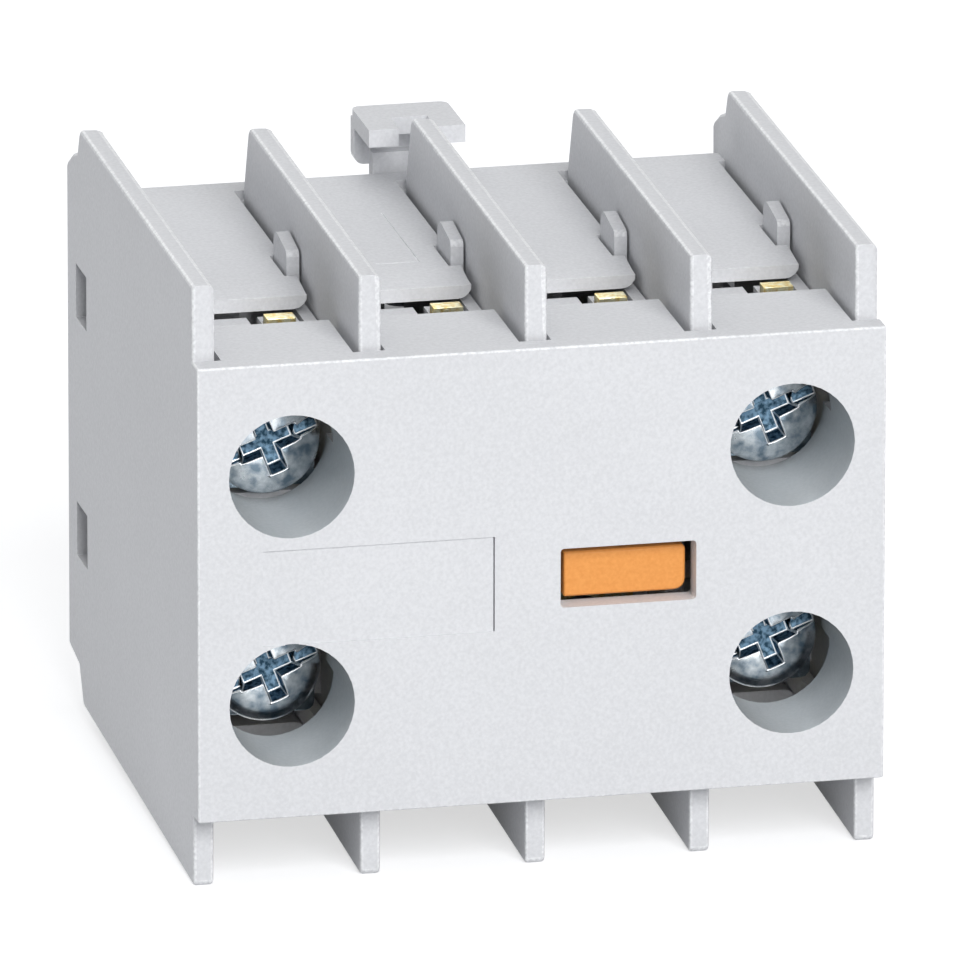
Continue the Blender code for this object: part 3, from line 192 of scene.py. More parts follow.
def moulded_plastic(name, dark, pale, roughness, grain):
    """Injection-moulded thermoplastic, with its grain in its colour, its gloss and its surface."""
    material, tree, shader, place = new_material(name)
    turned = add_node(tree, "ShaderNodeMapping", {"Rotation": PATTERN_TURN}, Vector=place).outputs["Vector"]
    clouds = add_node(tree, "ShaderNodeTexNoise", {"Scale": CLOUDS_PER_METRE, "Detail": 3.0}, Vector=turned)
    grit = add_node(tree, "ShaderNodeTexNoise", {"Scale": GRAINS_PER_METRE, "Detail": 2.0}, Vector=turned)
    mix = {"operation": "MULTIPLY_ADD", 1: CLOUD_SHARE}
    both = add_node(tree, "ShaderNodeMath", mix, Value=clouds.outputs["Fac"])
    tree.links.new(grit.outputs["Fac"], both.inputs[2])
    two_tone(tree, shader, both.outputs["Value"], dark, pale, start=0.45, end=0.85)
    gloss = {"To Min": roughness - 0.04, "To Max": roughness + 0.05}
    shade = add_node(tree, "ShaderNodeMapRange", gloss, Value=grit.outputs["Fac"])
    tree.links.new(shade.outputs["Result"], shader.inputs["Roughness"])
    relief = {"Strength": grain, "Distance": GRAIN_HEIGHT}
    bump = add_node(tree, "ShaderNodeBump", relief, Height=grit.outputs["Fac"])
    tree.links.new(bump.outputs["Normal"], shader.inputs["Normal"])
    shader.inputs["IOR"].default_value = PLASTIC_IOR
    shader.inputs["Specular IOR Level"].default_value = PLASTIC_SPECULAR
    return material


def finish_piece(piece, material, body, node):
    """Gives a piece its material, if one is named, and lets it ride on a body in place of its CAD node."""
    if material:
        piece.data.materials.clear()
        piece.data.materials.append(material)
    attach(piece, body)
    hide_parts(node)


# Polyamide with glass fibre has a dull satin face. Its rounded edges come smoother out of the polished
# corners of the mould, and they are painted paler, as a fine broken highlight line along them.
grey_polyamide = moulded_plastic("grey moulded polyamide", "#D0D1D4", "#DADBDE", roughness=0.62, grain=0.25)
edge_highlight_polyamide = moulded_plastic(
    "grey polyamide with a painted edge highlight", "#D2D3D6", "#EFF0F2", roughness=0.42, grain=0.1
)
WALL_SLOT = 0
HIGHLIGHT_STRIP_SLOT = 1
EDGE_STRIP_WIDTH = 0.0002
# A face whose normal lies closer than this to an axis is a wall, not a rounded edge.
SQUARE_ON = 0.995


def paint_edge_highlights(piece):
    """Gives a grey moulding the paler material, a painted highlight, on the narrow sloping strips that round
    its edges.
    """
    piece.data.materials.clear()
    piece.data.materials.append(grey_polyamide)
    piece.data.materials.append(edge_highlight_polyamide)
    for polygon in piece.data.polygons:
        corners = [piece.data.vertices[index].co for index in polygon.vertices]
        round_about = sum((a - b).length for a, b in zip(corners, corners[1:] + corners[:1]))
        narrow = 2 * polygon.area / round_about < EDGE_STRIP_WIDTH
        sloping = max(abs(part) for part in polygon.normal) < SQUARE_ON
        polygon.material_index = HIGHLIGHT_STRIP_SLOT if narrow and sloping else WALL_SLOT


MOULD_RADIUS = 0.00012
FIN_TOP = 0.03925
MIDDLE_HEIGHT = FIN_TOP / 2
FIN_FRONT = -0.01965
FIN_RISE = 0.0002 / 0.0333
FIN_EDGE_RADIUS = 0.00022
FIN_CORNER_REACH = FIN_EDGE_RADIUS * 1.1
FIN_CORNER_GROWTH = 2.0
FIN_COUNT = 5
FIN_PITCH = 0.010585
LAST_FIN_SIDE = 0.0219
SIDE_TOLERANCE = 0.00002
# The right-hand side of each fin at its upper tip
FIN_SIDES = [LAST_FIN_SIDE - FIN_PITCH * number for number in range(FIN_COUNT)]


def widen_fin_corners(piece):
    """The draft of the slides leaves each upper fin's right-hand corner rounder than its left-hand one."""
    for vertex in piece.data.vertices:
        tip = FIN_TOP + FIN_RISE * (vertex.co.y - FIN_FRONT)
        below_tip = abs(tip - vertex.co.z)
        for side in FIN_SIDES:
            from_side = side - vertex.co.x
            if -SIDE_TOLERANCE < from_side < FIN_CORNER_REACH and below_tip < FIN_CORNER_REACH:
                vertex.co.x = side - from_side * FIN_CORNER_GROWTH
                vertex.co.z = tip - below_tip * FIN_CORNER_GROWTH


LIP_FRONT = -0.00625
LIP_EDGE = 0.014325
LIP_RISE = 0.00018
LIP_FRONT_TOLERANCE = 0.00002
LIP_EDGE_TOLERANCE = 0.00003


def raise_lip_edges(piece):
    """Each roof's lip has a flat nose over its wire entry, so its slope's lower edge stands higher."""
    for vertex in piece.data.vertices:
        height = vertex.co.z - MIDDLE_HEIGHT
        at_front = abs(vertex.co.y - LIP_FRONT) < LIP_FRONT_TOLERANCE
        if at_front and abs(abs(height) - LIP_EDGE) < LIP_EDGE_TOLERANCE:
            vertex.co.z += math.copysign(LIP_RISE, height)


# The insert's outline on the second roof: one line across its front and one along its right-hand side
ROOF_TOP = 0.03445
INSERT_LEFT = -0.0063
INSERT_RIGHT = -0.00348
INSERT_FRONT = -0.00165
INSERT_REAR = 0.00945
INSERT_LINE_WIDTH = 0.00012
INSERT_LINE_DEPTH = 0.00007


def draw_insert_lines(piece):
    """Cuts the insert's two fine lines into the roof."""
    bottom = ROOF_TOP - INSERT_LINE_DEPTH
    top = ROOF_TOP + INSERT_LINE_DEPTH
    front_line_rear = INSERT_FRONT + INSERT_LINE_WIDTH
    side_line_left = INSERT_RIGHT - INSERT_LINE_WIDTH
    cut_with(piece, box_between((INSERT_LEFT, INSERT_FRONT, bottom), (INSERT_RIGHT, front_line_rear, top)))
    cut_with(piece, box_between((side_line_left, INSERT_FRONT, bottom), (INSERT_RIGHT, INSERT_REAR, top)))


housing = cad_copy("housing", "moulded_housing")
widen_fin_corners(housing)
raise_lip_edges(housing)
draw_insert_lines(housing)
round_edges(housing, MOULD_RADIUS)
paint_edge_highlights(housing)
finish_piece(housing, None, "housing", "housing")

# The contact carrier is a charcoal moulding that spans the four poles, with an orange cap pressed on its
# neck. The cap is what the window in the face shows.

# The charcoal grade of the same polyamide is dull too, with faintly paler flecks from its glass fibre.
charcoal_polyamide = moulded_plastic(
    "charcoal moulded polyamide", "#36383C", "#45474B", roughness=0.5, grain=0.3
)
SMALL_MOULD_RADIUS = 0.0001
carrier = cad_copy("contact_carrier", "moulded_carrier")
round_edges(carrier, SMALL_MOULD_RADIUS)
finish_piece(carrier, charcoal_polyamide, "carrier", "contact_carrier")

# Orange ABS comes glossier out of the mould than the polyamide, so its edges catch a clear line of light.
orange_abs = moulded_plastic("orange moulded ABS", "#E0944A", "#E89E54", roughness=0.38, grain=0.12)
indicator = cad_copy("position_indicator", "indicator_cap")
round_edges(indicator, SMALL_MOULD_RADIUS, segments=3)
finish_piece(indicator, orange_abs, "carrier", "position_indicator")

# Each bridge is a stamped copper bar, silver-plated, with a contact button riveted at either end.
# The springs are wound from hard-drawn steel wire, with their end turns closed.


def plated_metal(name, dark, pale, roughness, cloud_size, contrast=0.2):
    """Rolled or plated metal, with clouds of the given size in its colour and its gloss."""
    material, tree, shader, place = new_material(name)
    clouds = add_node(tree, "ShaderNodeTexNoise", {"Scale": 1 / cloud_size, "Detail": 5.0}, Vector=place)
    two_tone(tree, shader, clouds.outputs["Fac"], dark, pale, start=0.5 - contrast, end=0.5 + contrast)
    gloss = {"To Min": roughness - 0.06, "To Max": roughness + 0.08}
    shade = add_node(tree, "ShaderNodeMapRange", gloss, Value=clouds.outputs["Fac"])
    tree.links.new(shade.outputs["Result"], shader.inputs["Roughness"])
    shader.inputs["Metallic"].default_value = 1.0
    return material


# Matt silver plating is pale and slightly warm, and tarnishes in soft grey clouds.
silver_plating = plated_metal(
    "matt silver plating", "#B9B6AE", "#DAD8D2", roughness=0.3, cloud_size=0.0009
)
DEBURRED_EDGE = 0.00006
for state in ("closed", "open"):
    bridge = cad_copy(f"bridge_contact_{state}", f"bridge_bar_{state}")
    round_edges(bridge, DEBURRED_EDGE)
    finish_piece(bridge, silver_plating, f"bridge_{state}", f"bridge_contact_{state}")

# Drawn steel wire has a grey shine with darker drawing marks.
spring_steel = plated_metal(
    "drawn spring steel wire", "#8D9095", "#B9BCC1", roughness=0.28, cloud_size=0.0004
)
STEPS_PER_TURN = 24
WIRE_SIDES = 10
# How far one turn rises, in wire radii, as it is wound and where the end turns are closed
WINDING_RISE = 3.0
CLOSED_RISE = 2.3
COIL_SHADING = math.radians(50)


def coil_spring(name, coil_radius, wire_radius, length, turns):
    """A spring wound upwards from the origin by a screw modifier, and its turns then spaced."""
    bpy.ops.object.select_all(action="DESELECT")
    upright = (math.pi / 2, 0, 0)
    bpy.ops.mesh.primitive_circle_add(
        vertices=WIRE_SIDES, radius=wire_radius, location=(coil_radius, 0, 0), rotation=upright
    )
    bpy.ops.object.transform_apply()
    spring = bpy.context.object
    spring.name = name
    pitch = WINDING_RISE * wire_radius
    winding = {"angle": 2 * math.pi, "screw_offset": pitch, "iterations": turns, "axis": "Z"}
    apply_modifier(spring, "SCREW", steps=STEPS_PER_TURN, render_steps=STEPS_PER_TURN, **winding)
    closed_pitch = CLOSED_RISE * wire_radius
    open_pitch = (length - 2 * wire_radius - 2 * closed_pitch) / (turns - 2)
    for vertex in spring.data.vertices:
        turn = (vertex.index // WIRE_SIDES) / STEPS_PER_TURN
        rise = closed_pitch * min(turn, 1.0)
        rise += open_pitch * min(max(turn - 1.0, 0.0), turns - 2)
        rise += closed_pitch * max(turn - (turns - 1), 0.0)
        vertex.co.z += wire_radius + rise - pitch * turn
    pick(spring)
    bpy.ops.object.mode_set(mode="EDIT")
    bpy.ops.mesh.select_all(action="SELECT")
    bpy.ops.mesh.fill_holes(sides=0)
    bpy.ops.mesh.select_all(action="SELECT")
    bpy.ops.mesh.normals_make_consistent(inside=False)
    bpy.ops.object.mode_set(mode="OBJECT")
    bpy.ops.object.shade_smooth_by_angle(angle=COIL_SHADING)
    return spring


# The ways in which a spring's moving end is pressed: an axis, and the end of it that stays
REARWARDS = (1, "high")
FORWARDS = (1, "low")
DOWNWARDS = (2, "low")


def set_spring(spring, node, body, pressed):
    """Puts a spring in its node's place, along the axis it is pressed on, and lets it ride on a body."""
    low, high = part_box(node)
    axis, staying_end = pressed
    start = [(low[i] + high[i]) / 2 for i in range(3)]
    start[axis] = low[axis]
    anchor = list(start)
    anchor[axis] = (high if staying_end == "high" else low)[axis]
    pick(spring)
    spring.location = start
    if axis == 1:
        spring.rotation_euler = (-math.pi / 2, 0, 0)
    bpy.ops.object.transform_apply()
    finish_piece(spring, spring_steel, body, node)
    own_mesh(spring)


CONTACT_COIL = {"coil_radius": 0.0011, "wire_radius": 0.00015, "length": 0.0037, "turns": 6}
RETURN_COIL = {"coil_radius": 0.0026, "wire_radius": 0.00025, "length": 0.0136, "turns": 9}

closed_spring = coil_spring("closed_contact_spring", **CONTACT_COIL)
set_spring(closed_spring, "contact_spring_closed", "carrier", REARWARDS)
open_spring = coil_spring("open_contact_spring", **CONTACT_COIL)
set_spring(open_spring, "contact_spring_open", "carrier", FORWARDS)
carrier_spring = coil_spring("carrier_return_spring", **RETURN_COIL)
set_spring(carrier_spring, "return_spring", "housing", REARWARDS)

# The terminal plates are stamped from brass strip and bent, with an ear that stands up in the wire entry.
# The rolled strip is bright yellow, speckled with painted near-white glints, and its sheared ears have a
# rough edge.

SPARKLES_PER_METRE = 2600.0
SHEARED_HEIGHT = 0.00006
rolled_brass, brass_tree, brass_shader, brass_place = new_material("rolled brass strip")
fine = {"Scale": SPARKLES_PER_METRE, "Detail": 4.0}
sparkle = add_node(brass_tree, "ShaderNodeTexNoise", fine, Vector=brass_place)
# The near-white end of this colour paints glints; the bump below gives the real rough relief.
two_tone(brass_tree, brass_shader, sparkle.outputs["Fac"], "#F0D584", "#FFFBD6", start=0.4, end=0.6)
sheared = {"Strength": 0.6, "Distance": SHEARED_HEIGHT}
bump = add_node(brass_tree, "ShaderNodeBump", sheared, Height=sparkle.outputs["Fac"])
brass_tree.links.new(bump.outputs["Normal"], brass_shader.inputs["Normal"])
brass_shader.inputs["Metallic"].default_value = 1.0
brass_shader.inputs["Roughness"].default_value = 0.34

STAMPED_EDGE = 0.00008
POLES = [(row, hand) for row in ("upper", "lower") for hand in ("left", "right")]
for row, hand in POLES:
    for strip in ("terminal", "inner_terminal"):
        node = f"{strip}_{row}_{hand}"
        plate = cad_copy(node, f"brass_{node}")
        round_edges(plate, STAMPED_EDGE)
        finish_piece(plate, rolled_brass, "housing", node)

# Under each screw head is a square clamp washer, stamped from steel, then plated with zinc.
# Its blue passivation gives a cold, bright grey with darker clouds.

blue_zinc = plated_metal(
    "blue passivated zinc plating", "#7C909E", "#C2D0DA", roughness=0.25, cloud_size=0.0008
)
WASHER_EDGE = 0.00012
for row, hand in POLES:
    node = f"clamp_washer_{row}_{hand}"
    washer = cad_copy(node, f"square_{node}")
    round_edges(washer, WASHER_EDGE)
    finish_piece(washer, blue_zinc, f"clamp_{row}_{hand}", node)

# The terminal screws are M3.5 pan heads, cold-headed with a slot across a tapered cross recess.
# The head's crown carries painted light, its recess painted shade, and its edges and the recess's rim a
# painted near-white highlight.

HEAD_RADIUS = 0.00345
HEAD_HEIGHT = 0.0019
HEAD_CROWN = 0.0009
HEAD_CHAMFER = 0.00025
HEAD_SIDES = 64
CROWN_RINGS = 7
# The innermost ring stops short of the middle, so the crown ends in a small flat.
LAST_RING_SHARE = 0.9
SHANK_RADIUS = 0.00175
SHANK_LENGTH = 0.008
THREAD_PITCH = 0.0006
THREAD_DEPTH = 0.0003
THREAD_STEPS = HEAD_SIDES // 2
SEAM_DISTANCE = 1e-6
# Where the thread's narrow crest begins and ends, in flanks from the root
CREST_START = 0.8
CREST_END = 1.2
SHANK_TOP = 0.0002
RECESS_REACH = 0.0023
RECESS_WIDTH = 0.0013
RECESS_DEPTH = 0.0012
RECESS_TAPER = 0.72
SLOT_WIDTH = 0.0008
SLOT_DEPTH = 0.0008
RECESS_TURN = math.radians(21)
OVERSHOOT = 0.0005
LEVEL_TOLERANCE = 1e-7


def select_end(piece, up):
    """Leaves selected, in edit mode, only the flat face at the piece's upper or lower end."""
    bpy.ops.object.mode_set(mode="OBJECT")
    end = max(polygon.center.z * up for polygon in piece.data.polygons)
    for polygon in piece.data.polygons:
        polygon.select = polygon.center.z * up > end - LEVEL_TOLERANCE
    bpy.ops.object.mode_set(mode="EDIT")


def domed_head():
    """The screw's head, with its bearing face on z = 0, a crown of narrowing rings and a chamfer below."""
    rim = HEAD_HEIGHT - HEAD_CROWN
    bpy.ops.object.select_all(action="DESELECT")
    bpy.ops.mesh.primitive_cylinder_add(
        vertices=HEAD_SIDES, radius=HEAD_RADIUS, depth=rim, location=(0, 0, rim / 2), end_fill_type="NGON"
    )
    bpy.ops.object.transform_apply()
    head = bpy.context.object
    bpy.ops.object.mode_set(mode="EDIT")
    bpy.ops.mesh.select_mode(type="FACE")
    for ring in range(CROWN_RINGS):
        here = math.pi / 2 * ring / CROWN_RINGS
        there = math.pi / 2 * (ring + 1) / CROWN_RINGS
        narrower = HEAD_RADIUS * (math.cos(here) - math.cos(there))
        higher = HEAD_CROWN * (math.sin(there) - math.sin(here))
        if ring == CROWN_RINGS - 1:
            narrower *= LAST_RING_SHARE
        select_end(head, 1)
        bpy.ops.mesh.inset(thickness=narrower, depth=higher)
    select_end(head, -1)
    bpy.ops.mesh.inset(thickness=HEAD_CHAMFER, depth=0.0)
    bpy.ops.object.mode_set(mode="OBJECT")
    for vertex in head.data.vertices:
        out = math.hypot(vertex.co.x, vertex.co.y)
        if vertex.co.z < HEAD_CHAMFER / 2 and out > HEAD_RADIUS - HEAD_CHAMFER / 2:
            vertex.co.z += HEAD_CHAMFER
    return head


def recess_bar(half_length, half_width, depth, taper):
    """A bar that cuts one arm of the recess. It narrows downwards by taper, as the punch does."""
    top = HEAD_HEIGHT + OVERSHOOT
    bar = box_between((-half_length, -half_width, HEAD_HEIGHT - depth), (half_length, half_width, top))
    for vertex in bar.data.vertices:
        if vertex.co.z < HEAD_HEIGHT:
            vertex.co.x *= taper
            vertex.co.y *= taper
    return bar


def outline_order(mesh):
    """The vertex indices of an open or closed outline, one after the other along its edges."""
    order = [mesh.edges[0].vertices[0], mesh.edges[0].vertices[1]]
    while len(order) < len(mesh.vertices):
        for edge in mesh.edges:
            first, second = edge.vertices
            if first == order[-1] and second not in order:
                order.append(second)
            elif second == order[-1] and first not in order:
                order.append(first)
    return order


def threaded_shank():
    """The shank below z = 0: one thread turn is drawn and wound down by a screw modifier, then cut flat."""
    turns = round(SHANK_LENGTH / THREAD_PITCH) + 2
    root = SHANK_RADIUS - THREAD_DEPTH
    bpy.ops.object.select_all(action="DESELECT")
    bpy.ops.mesh.primitive_plane_add(size=THREAD_PITCH)
    shank = bpy.context.object
    flank = THREAD_PITCH / 2
    crest = ((SHANK_RADIUS, -CREST_START * flank), (SHANK_RADIUS, -CREST_END * flank))
    corners = ((root, 0.0), *crest, (root, -2 * flank))
    bpy.ops.object.mode_set(mode="EDIT")
    bpy.ops.mesh.select_all(action="SELECT")
    bpy.ops.mesh.delete(type="ONLY_FACE")
    bpy.ops.object.mode_set(mode="OBJECT")
    order = outline_order(shank.data)
    for index, (out, down) in zip(order, corners):
        shank.data.vertices[index].co = (out, 0.0, THREAD_PITCH + down)
    pick(shank)
    bpy.ops.object.mode_set(mode="EDIT")
    bpy.ops.mesh.select_mode(type="EDGE")
    bpy.ops.mesh.select_all(action="DESELECT")
    bpy.ops.object.mode_set(mode="OBJECT")
    for edge in shank.data.edges:
        edge.select = set(edge.vertices) == {order[0], order[-1]}
    bpy.ops.object.mode_set(mode="EDIT")
    bpy.ops.mesh.delete(type="EDGE")
    bpy.ops.object.mode_set(mode="OBJECT")
    winding = {"angle": 2 * math.pi, "screw_offset": -THREAD_PITCH, "iterations": turns, "axis": "Z"}
    apply_modifier(shank, "SCREW", steps=THREAD_STEPS, render_steps=THREAD_STEPS, **winding)
    bpy.ops.object.mode_set(mode="EDIT")
    bpy.ops.mesh.select_all(action="SELECT")
    bpy.ops.mesh.remove_doubles(threshold=SEAM_DISTANCE)
    for height, outwards in ((SHANK_TOP, 1), (-SHANK_LENGTH, -1)):
        bpy.ops.mesh.select_all(action="SELECT")
        bpy.ops.mesh.bisect(
            plane_co=(0, 0, height), plane_no=(0, 0, outwards), use_fill=True, clear_outer=True
        )
    bpy.ops.mesh.select_all(action="SELECT")
    bpy.ops.mesh.normals_make_consistent(inside=False)
    bpy.ops.object.mode_set(mode="OBJECT")
    return shank


# The blue zinc comes in three copies: bright on the crown and shank with painted light, dark in the punched
# recess with painted shade, and almost white on the edges with a painted highlight.
LIT_ZINC_TONES = {"dark": "#8799A7", "pale": "#F6FAFC", "contrast": 0.15}
RECESS_SHADE_TONES = {"dark": "#2B4252", "pale": "#7593AA", "contrast": 0.12}
lit_zinc = plated_metal(
    "blue zinc with painted light", roughness=0.24, cloud_size=0.0009, **LIT_ZINC_TONES
)
recess_shade_zinc = plated_metal(
    "blue zinc with painted shade in the recess", roughness=0.3, cloud_size=0.0003, **RECESS_SHADE_TONES
)
edge_highlight_zinc = plated_metal(
    "zinc with a painted edge highlight", "#EEF3F6", "#FFFFFF", roughness=0.42, cloud_size=0.0005
)
CROWN_SLOT = 0
RECESS_SHADE_SLOT = 1
HIGHLIGHT_EDGE_SLOT = 2
# Faces this far inside the head's own surface belong to the recess.
INSIDE_SHARE = 0.98
INSIDE_DEPTH = 0.0001
# The cuts leave edges shorter than this, which would pinch the bevel, so they are merged away first.
SLIVER_LENGTH = 0.00004
EDGE_BEVEL_WIDTH = 0.00008
EDGE_BEVEL_ANGLE = math.radians(40)
HEAD_SHADING = math.radians(30)

head = domed_head()
cut_with(head, recess_bar(RECESS_REACH, RECESS_WIDTH / 2, RECESS_DEPTH, RECESS_TAPER))
cut_with(head, recess_bar(RECESS_WIDTH / 2, RECESS_REACH, RECESS_DEPTH, RECESS_TAPER))
cut_with(head, recess_bar(HEAD_RADIUS + OVERSHOOT, SLOT_WIDTH / 2, SLOT_DEPTH, taper=1.0))
for finish in (lit_zinc, recess_shade_zinc, edge_highlight_zinc):
    head.data.materials.append(finish)
# Faces in the recess take the zinc with painted shade; the rest take the zinc with painted light.
for polygon in head.data.polygons:
    out = math.hypot(polygon.center.x, polygon.center.y)
    crown = HEAD_HEIGHT - HEAD_CROWN + HEAD_CROWN * math.sqrt(max(0.0, 1 - (out / HEAD_RADIUS) ** 2))
    below_surface = INSIDE_DEPTH < polygon.center.z < crown - INSIDE_DEPTH
    in_recess = out < HEAD_RADIUS * INSIDE_SHARE and below_surface
    polygon.material_index = RECESS_SHADE_SLOT if in_recess else CROWN_SLOT
pick(head)
bpy.ops.object.mode_set(mode="EDIT")
bpy.ops.mesh.select_all(action="SELECT")
bpy.ops.mesh.remove_doubles(threshold=SLIVER_LENGTH)
bpy.ops.object.mode_set(mode="OBJECT")
# The bevel's faces take the zinc with a painted near-white highlight.
edge_bevel = {"limit_method": "ANGLE", "angle_limit": EDGE_BEVEL_ANGLE, "use_clamp_overlap": False}
apply_modifier(head, "BEVEL", width=EDGE_BEVEL_WIDTH, segments=2, material=HIGHLIGHT_EDGE_SLOT, **edge_bevel)
shank = threaded_shank()
shank.data.materials.append(lit_zinc)
bpy.ops.object.select_all(action="DESELECT")
shank.select_set(True)
head.select_set(True)
bpy.context.view_layer.objects.active = head
bpy.ops.object.join()
bpy.ops.object.shade_smooth_by_angle(angle=HEAD_SHADING)
head.name = "pan_head_screw"

screw_axes = []
for row, hand in POLES:
    node = f"terminal_screw_{row}_{hand}"
    low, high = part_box(node)
    screw = head.copy()
    screw.data = head.data.copy()
    screw.name = f"pan_head_{row}_{hand}"
    bpy.context.scene.collection.objects.link(screw)
    pick(screw)
    middle_x = (low[0] + high[0]) / 2
    middle_z = (low[2] + high[2]) / 2
    screw_axes.append((middle_x, middle_z))
    screw.matrix_world = (
        Matrix.Translation((middle_x, low[1] + HEAD_HEIGHT, middle_z))
        @ Matrix.Rotation(-RECESS_TURN, 4, "Y")
        @ Matrix.Rotation(math.pi / 2, 4, "X")
    )
    bpy.ops.object.transform_apply()
    finish_piece(screw, None, f"screw_{row}_{hand}", node)
bpy.data.objects.remove(head, do_unlink=True)

# The front cover is a second moulding in the same polyamide, snapped over the housing by eight arms.
# Its bores come from polished core pins, which leave a small radius round each mouth.

FACE_PLANE = -0.02165
FACE_HALF_WIDTH = 0.022
FACE_HALF_HEIGHT = 0.014825
FACE_EDGE_RADIUS = 0.00035
RIM_REACH = FACE_EDGE_RADIUS * 1.05
# How far back the rim's sides are drawn in, and how much of the radius is left
RIM_DEPTH = 0.0017
RIM_SHARE = 0.4


def sharpen_rim(piece):
    """Draws the face's rim in to the small radius of a new mould, which leaves the flat of the face wider."""
    for vertex in piece.data.vertices:
        out_x = FACE_HALF_WIDTH - abs(vertex.co.x)
        out_z = FACE_HALF_HEIGHT - abs(vertex.co.z - MIDDLE_HEIGHT)
        behind = vertex.co.y - FACE_PLANE
        if behind < RIM_REACH and (out_x < RIM_REACH or out_z < RIM_REACH):
            vertex.co.y = FACE_PLANE + behind * RIM_SHARE
        if behind < RIM_DEPTH and out_x < RIM_REACH:
            vertex.co.x = math.copysign(FACE_HALF_WIDTH - out_x * RIM_SHARE, vertex.co.x)
        if behind < RIM_DEPTH and out_z < RIM_REACH:
            side = math.copysign(FACE_HALF_HEIGHT - out_z * RIM_SHARE, vertex.co.z - MIDDLE_HEIGHT)
            vertex.co.z = MIDDLE_HEIGHT + side


cover = cad_copy("front_cover", "moulded_front_cover")
sharpen_rim(cover)
# A fine groove runs down the right-hand side of the shallow panel beside the window.
PANEL_RIGHT = -0.00305
PANEL_BOTTOM = 0.016125
PANEL_TOP = 0.022325
GROOVE_WIDTH = 0.00009
GROOVE_DEPTH = 0.00042
groove_low = (PANEL_RIGHT - GROOVE_WIDTH, FACE_PLANE - OVERSHOOT, PANEL_BOTTOM)
groove_high = (PANEL_RIGHT, FACE_PLANE + GROOVE_DEPTH, PANEL_TOP)
cut_with(cover, box_between(groove_low, groove_high))
round_edges(cover, SMALL_MOULD_RADIUS)
paint_edge_highlights(cover)

# The walls of the bores are as smooth as the core pins, so they are glossier than the face, and they are
# painted darker and cooler as the shade inside them.
bore_shade_polyamide = moulded_plastic(
    "grey polyamide off a polished core pin, with painted shade", "#C6CBCE", "#CDD1D4", roughness=0.24, grain=0.0
)
BORE_SLOT = 2
BORE_RADIUS = 0.004
BORE_TOLERANCE = 0.00005
# A bore's wall faces sideways, up or down, with hardly any part of its normal along the bore.
ALONG_BORE = 0.2
cover.data.materials.append(bore_shade_polyamide)
for polygon in cover.data.polygons:
    for x, z in screw_axes:
        out = math.hypot(polygon.center.x - x, polygon.center.z - z)
        if abs(out - BORE_RADIUS) < BORE_TOLERANCE and abs(polygon.normal.y) < ALONG_BORE:
            polygon.material_index = BORE_SLOT
finish_piece(cover, None, "housing", "front_cover")

# The release latch is a small moulding of its own in the same polyamide, which slides in rails at the rear.
# A finger pushes its pad down against a steel coil spring, wound as the others are.

LATCH_COIL = {"coil_radius": 0.0012, "wire_radius": 0.00025, "length": 0.004, "turns": 6}
latch = cad_copy("release_latch", "moulded_latch")
round_edges(latch, MOULD_RADIUS)
paint_edge_highlights(latch)
finish_piece(latch, None, "latch", "release_latch")
release_spring = coil_spring("latch_return_spring", **LATCH_COIL)
set_spring(release_spring, "latch_spring", "housing", DOWNWARDS)

# The studio is a wide white table in a soft white room, lit by one large softbox in front and above.
# Three weaker lamps open the shadows at the left, on top and behind. The camera stands where a fit to the
# photograph's edges puts it, with a long lens.

AIM = Vector((0.0, -0.00365, 0.0195))
CAMERA_DISTANCE = 1.3202
CAMERA_AZIMUTH = -12.51
CAMERA_ELEVATION = 17.17
CAMERA_ROLL = 0.065
CAMERA_LENS = 782.7
FRAMING_LIFT = 0.000865
FRAMING_SHIFT = -0.000023

azimuth = math.radians(-CAMERA_AZIMUTH)
elevation = math.radians(CAMERA_ELEVATION)
level = math.cos(elevation)
look = Vector((math.sin(azimuth) * level, math.cos(azimuth) * level, -math.sin(elevation)))
across = look.cross(Vector((0, 0, 1))).normalized()
upwards = across.cross(look)
camera_data = bpy.data.cameras.new("camera")
camera_data.lens = CAMERA_LENS
camera_data.sensor_width = 36.0
camera_data.clip_start = 0.01
camera_data.clip_end = 10.0
camera = bpy.data.objects.new("camera", camera_data)
bpy.context.scene.collection.objects.link(camera)
camera.location = AIM - look * CAMERA_DISTANCE + upwards * FRAMING_LIFT + across * FRAMING_SHIFT
camera.rotation_mode = "QUATERNION"
roll = Matrix.Rotation(math.radians(CAMERA_ROLL), 4, "Z").to_quaternion()
camera.rotation_quaternion = look.to_track_quat("-Z", "Y") @ roll
bpy.context.scene.camera = camera

LAMP_DISTANCE = 1.0


def softbox(name, direction, size, share):
    """A square lamp that lights a white surface facing it to its share of full white."""
    data = bpy.data.lights.new(name, "AREA")
    data.energy = share * math.pi**2 * LAMP_DISTANCE**2
    data.size = size
    lamp = bpy.data.objects.new(name, data)
    bpy.context.scene.collection.objects.link(lamp)
    towards = Vector(direction).normalized()
    lamp.location = AIM + towards * LAMP_DISTANCE
    lamp.rotation_euler = towards.to_track_quat("Z", "Y").to_euler()


softbox("front softbox", (0.1, -0.83, 0.5), size=0.6, share=0.91)
softbox("low left lamp", (-0.97, -0.03, 0.14), size=0.3, share=0.15)
softbox("top fill", (0.0, 0.1, 1.0), size=1.0, share=0.175)
softbox("rear fill", (-0.2, 0.85, 0.5), size=0.8, share=0.22)


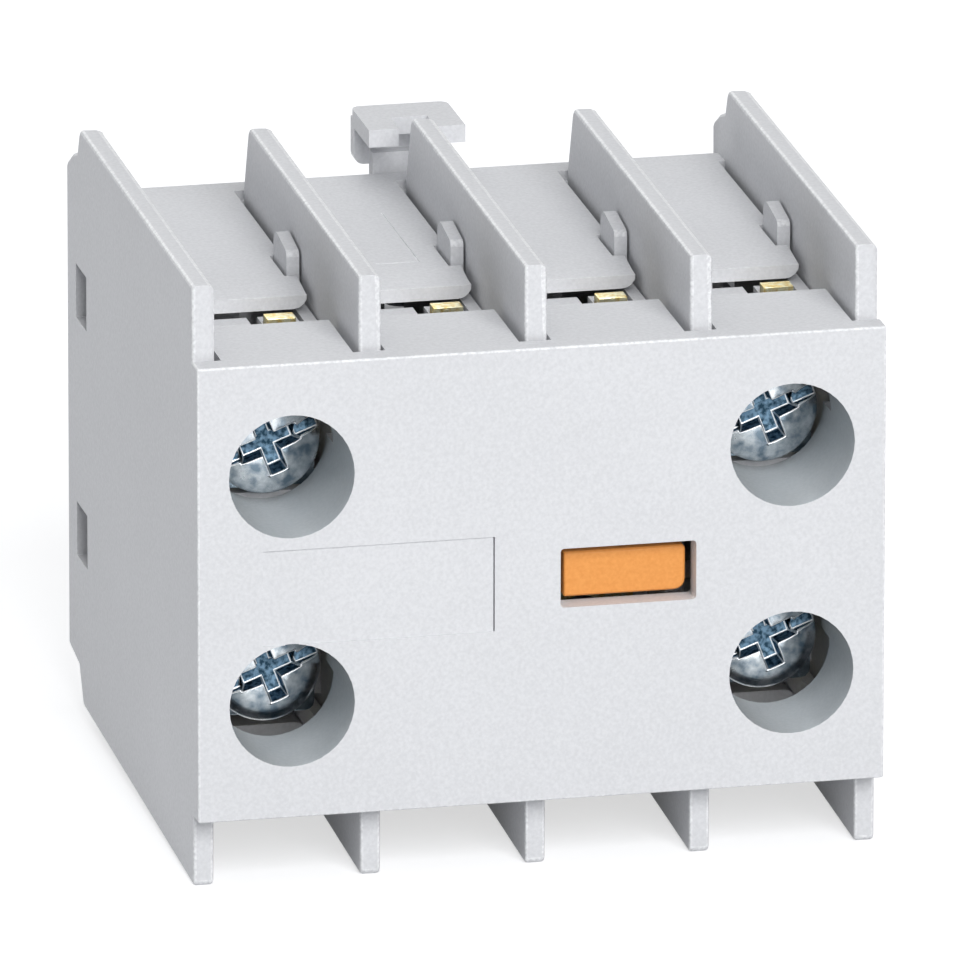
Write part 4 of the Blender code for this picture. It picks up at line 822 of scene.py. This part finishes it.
def seen_directly(tree):
    """1 for what is seen, straight, in a reflection or through glass, and 0 for light on the block."""
    rays = add_node(tree, "ShaderNodeLightPath")
    seen = rays.outputs["Is Camera Ray"]
    for ray in ("Is Glossy Ray", "Is Transmission Ray"):
        either = add_node(tree, "ShaderNodeMath", {"operation": "MAXIMUM"}, Value=seen)
        tree.links.new(rays.outputs[ray], either.inputs[1])
        seen = either.outputs["Value"]
    return seen


# The room's own light is a weak, slightly cool white, while what is seen of it is plain white.
ROOM_TINT = (0.965, 0.985, 1.0, 1.0)
ROOM_STRENGTH = 0.24
WHITE = (1.0, 1.0, 1.0, 1.0)

world = bpy.data.worlds.new("studio")
world.use_nodes = True
bpy.context.scene.world = world
room = world.node_tree
room.nodes["Background"].inputs["Color"].default_value = ROOM_TINT
room.nodes["Background"].inputs["Strength"].default_value = ROOM_STRENGTH
white = add_node(room, "ShaderNodeBackground", {"Color": WHITE, "Strength": 1.0})
choice = add_node(room, "ShaderNodeMixShader", Fac=seen_directly(room))
room.links.new(room.nodes["Background"].outputs["Background"], choice.inputs[1])
room.links.new(white.outputs["Background"], choice.inputs[2])
room.links.new(choice.outputs["Shader"], room.nodes["World Output"].inputs["Surface"])

# White laminate: a plain pale table that shows white and keeps the block's soft shadow.
TABLE_SIZE = 6.0
TABLE_GLOW = 0.62
bpy.ops.object.select_all(action="DESELECT")
bpy.ops.mesh.primitive_plane_add(size=TABLE_SIZE, location=(0, 0, cad_box[0][2]))
bpy.ops.object.transform_apply()
table = bpy.context.object
table.name = "white_table"
laminate, table_tree, table_shader, _ = new_material("white laminate")
table_shader.inputs["Base Color"].default_value = linear("#C6C7C9")
table_shader.inputs["Roughness"].default_value = 0.9
only_seen = {"operation": "MULTIPLY", 1: TABLE_GLOW}
glow = add_node(table_tree, "ShaderNodeMath", only_seen, Value=seen_directly(table_tree))
table_shader.inputs["Emission Color"].default_value = WHITE
table_tree.links.new(glow.outputs["Value"], table_shader.inputs["Emission Strength"])
table.data.materials.append(laminate)

bpy.context.scene.view_settings.view_transform = "Standard"
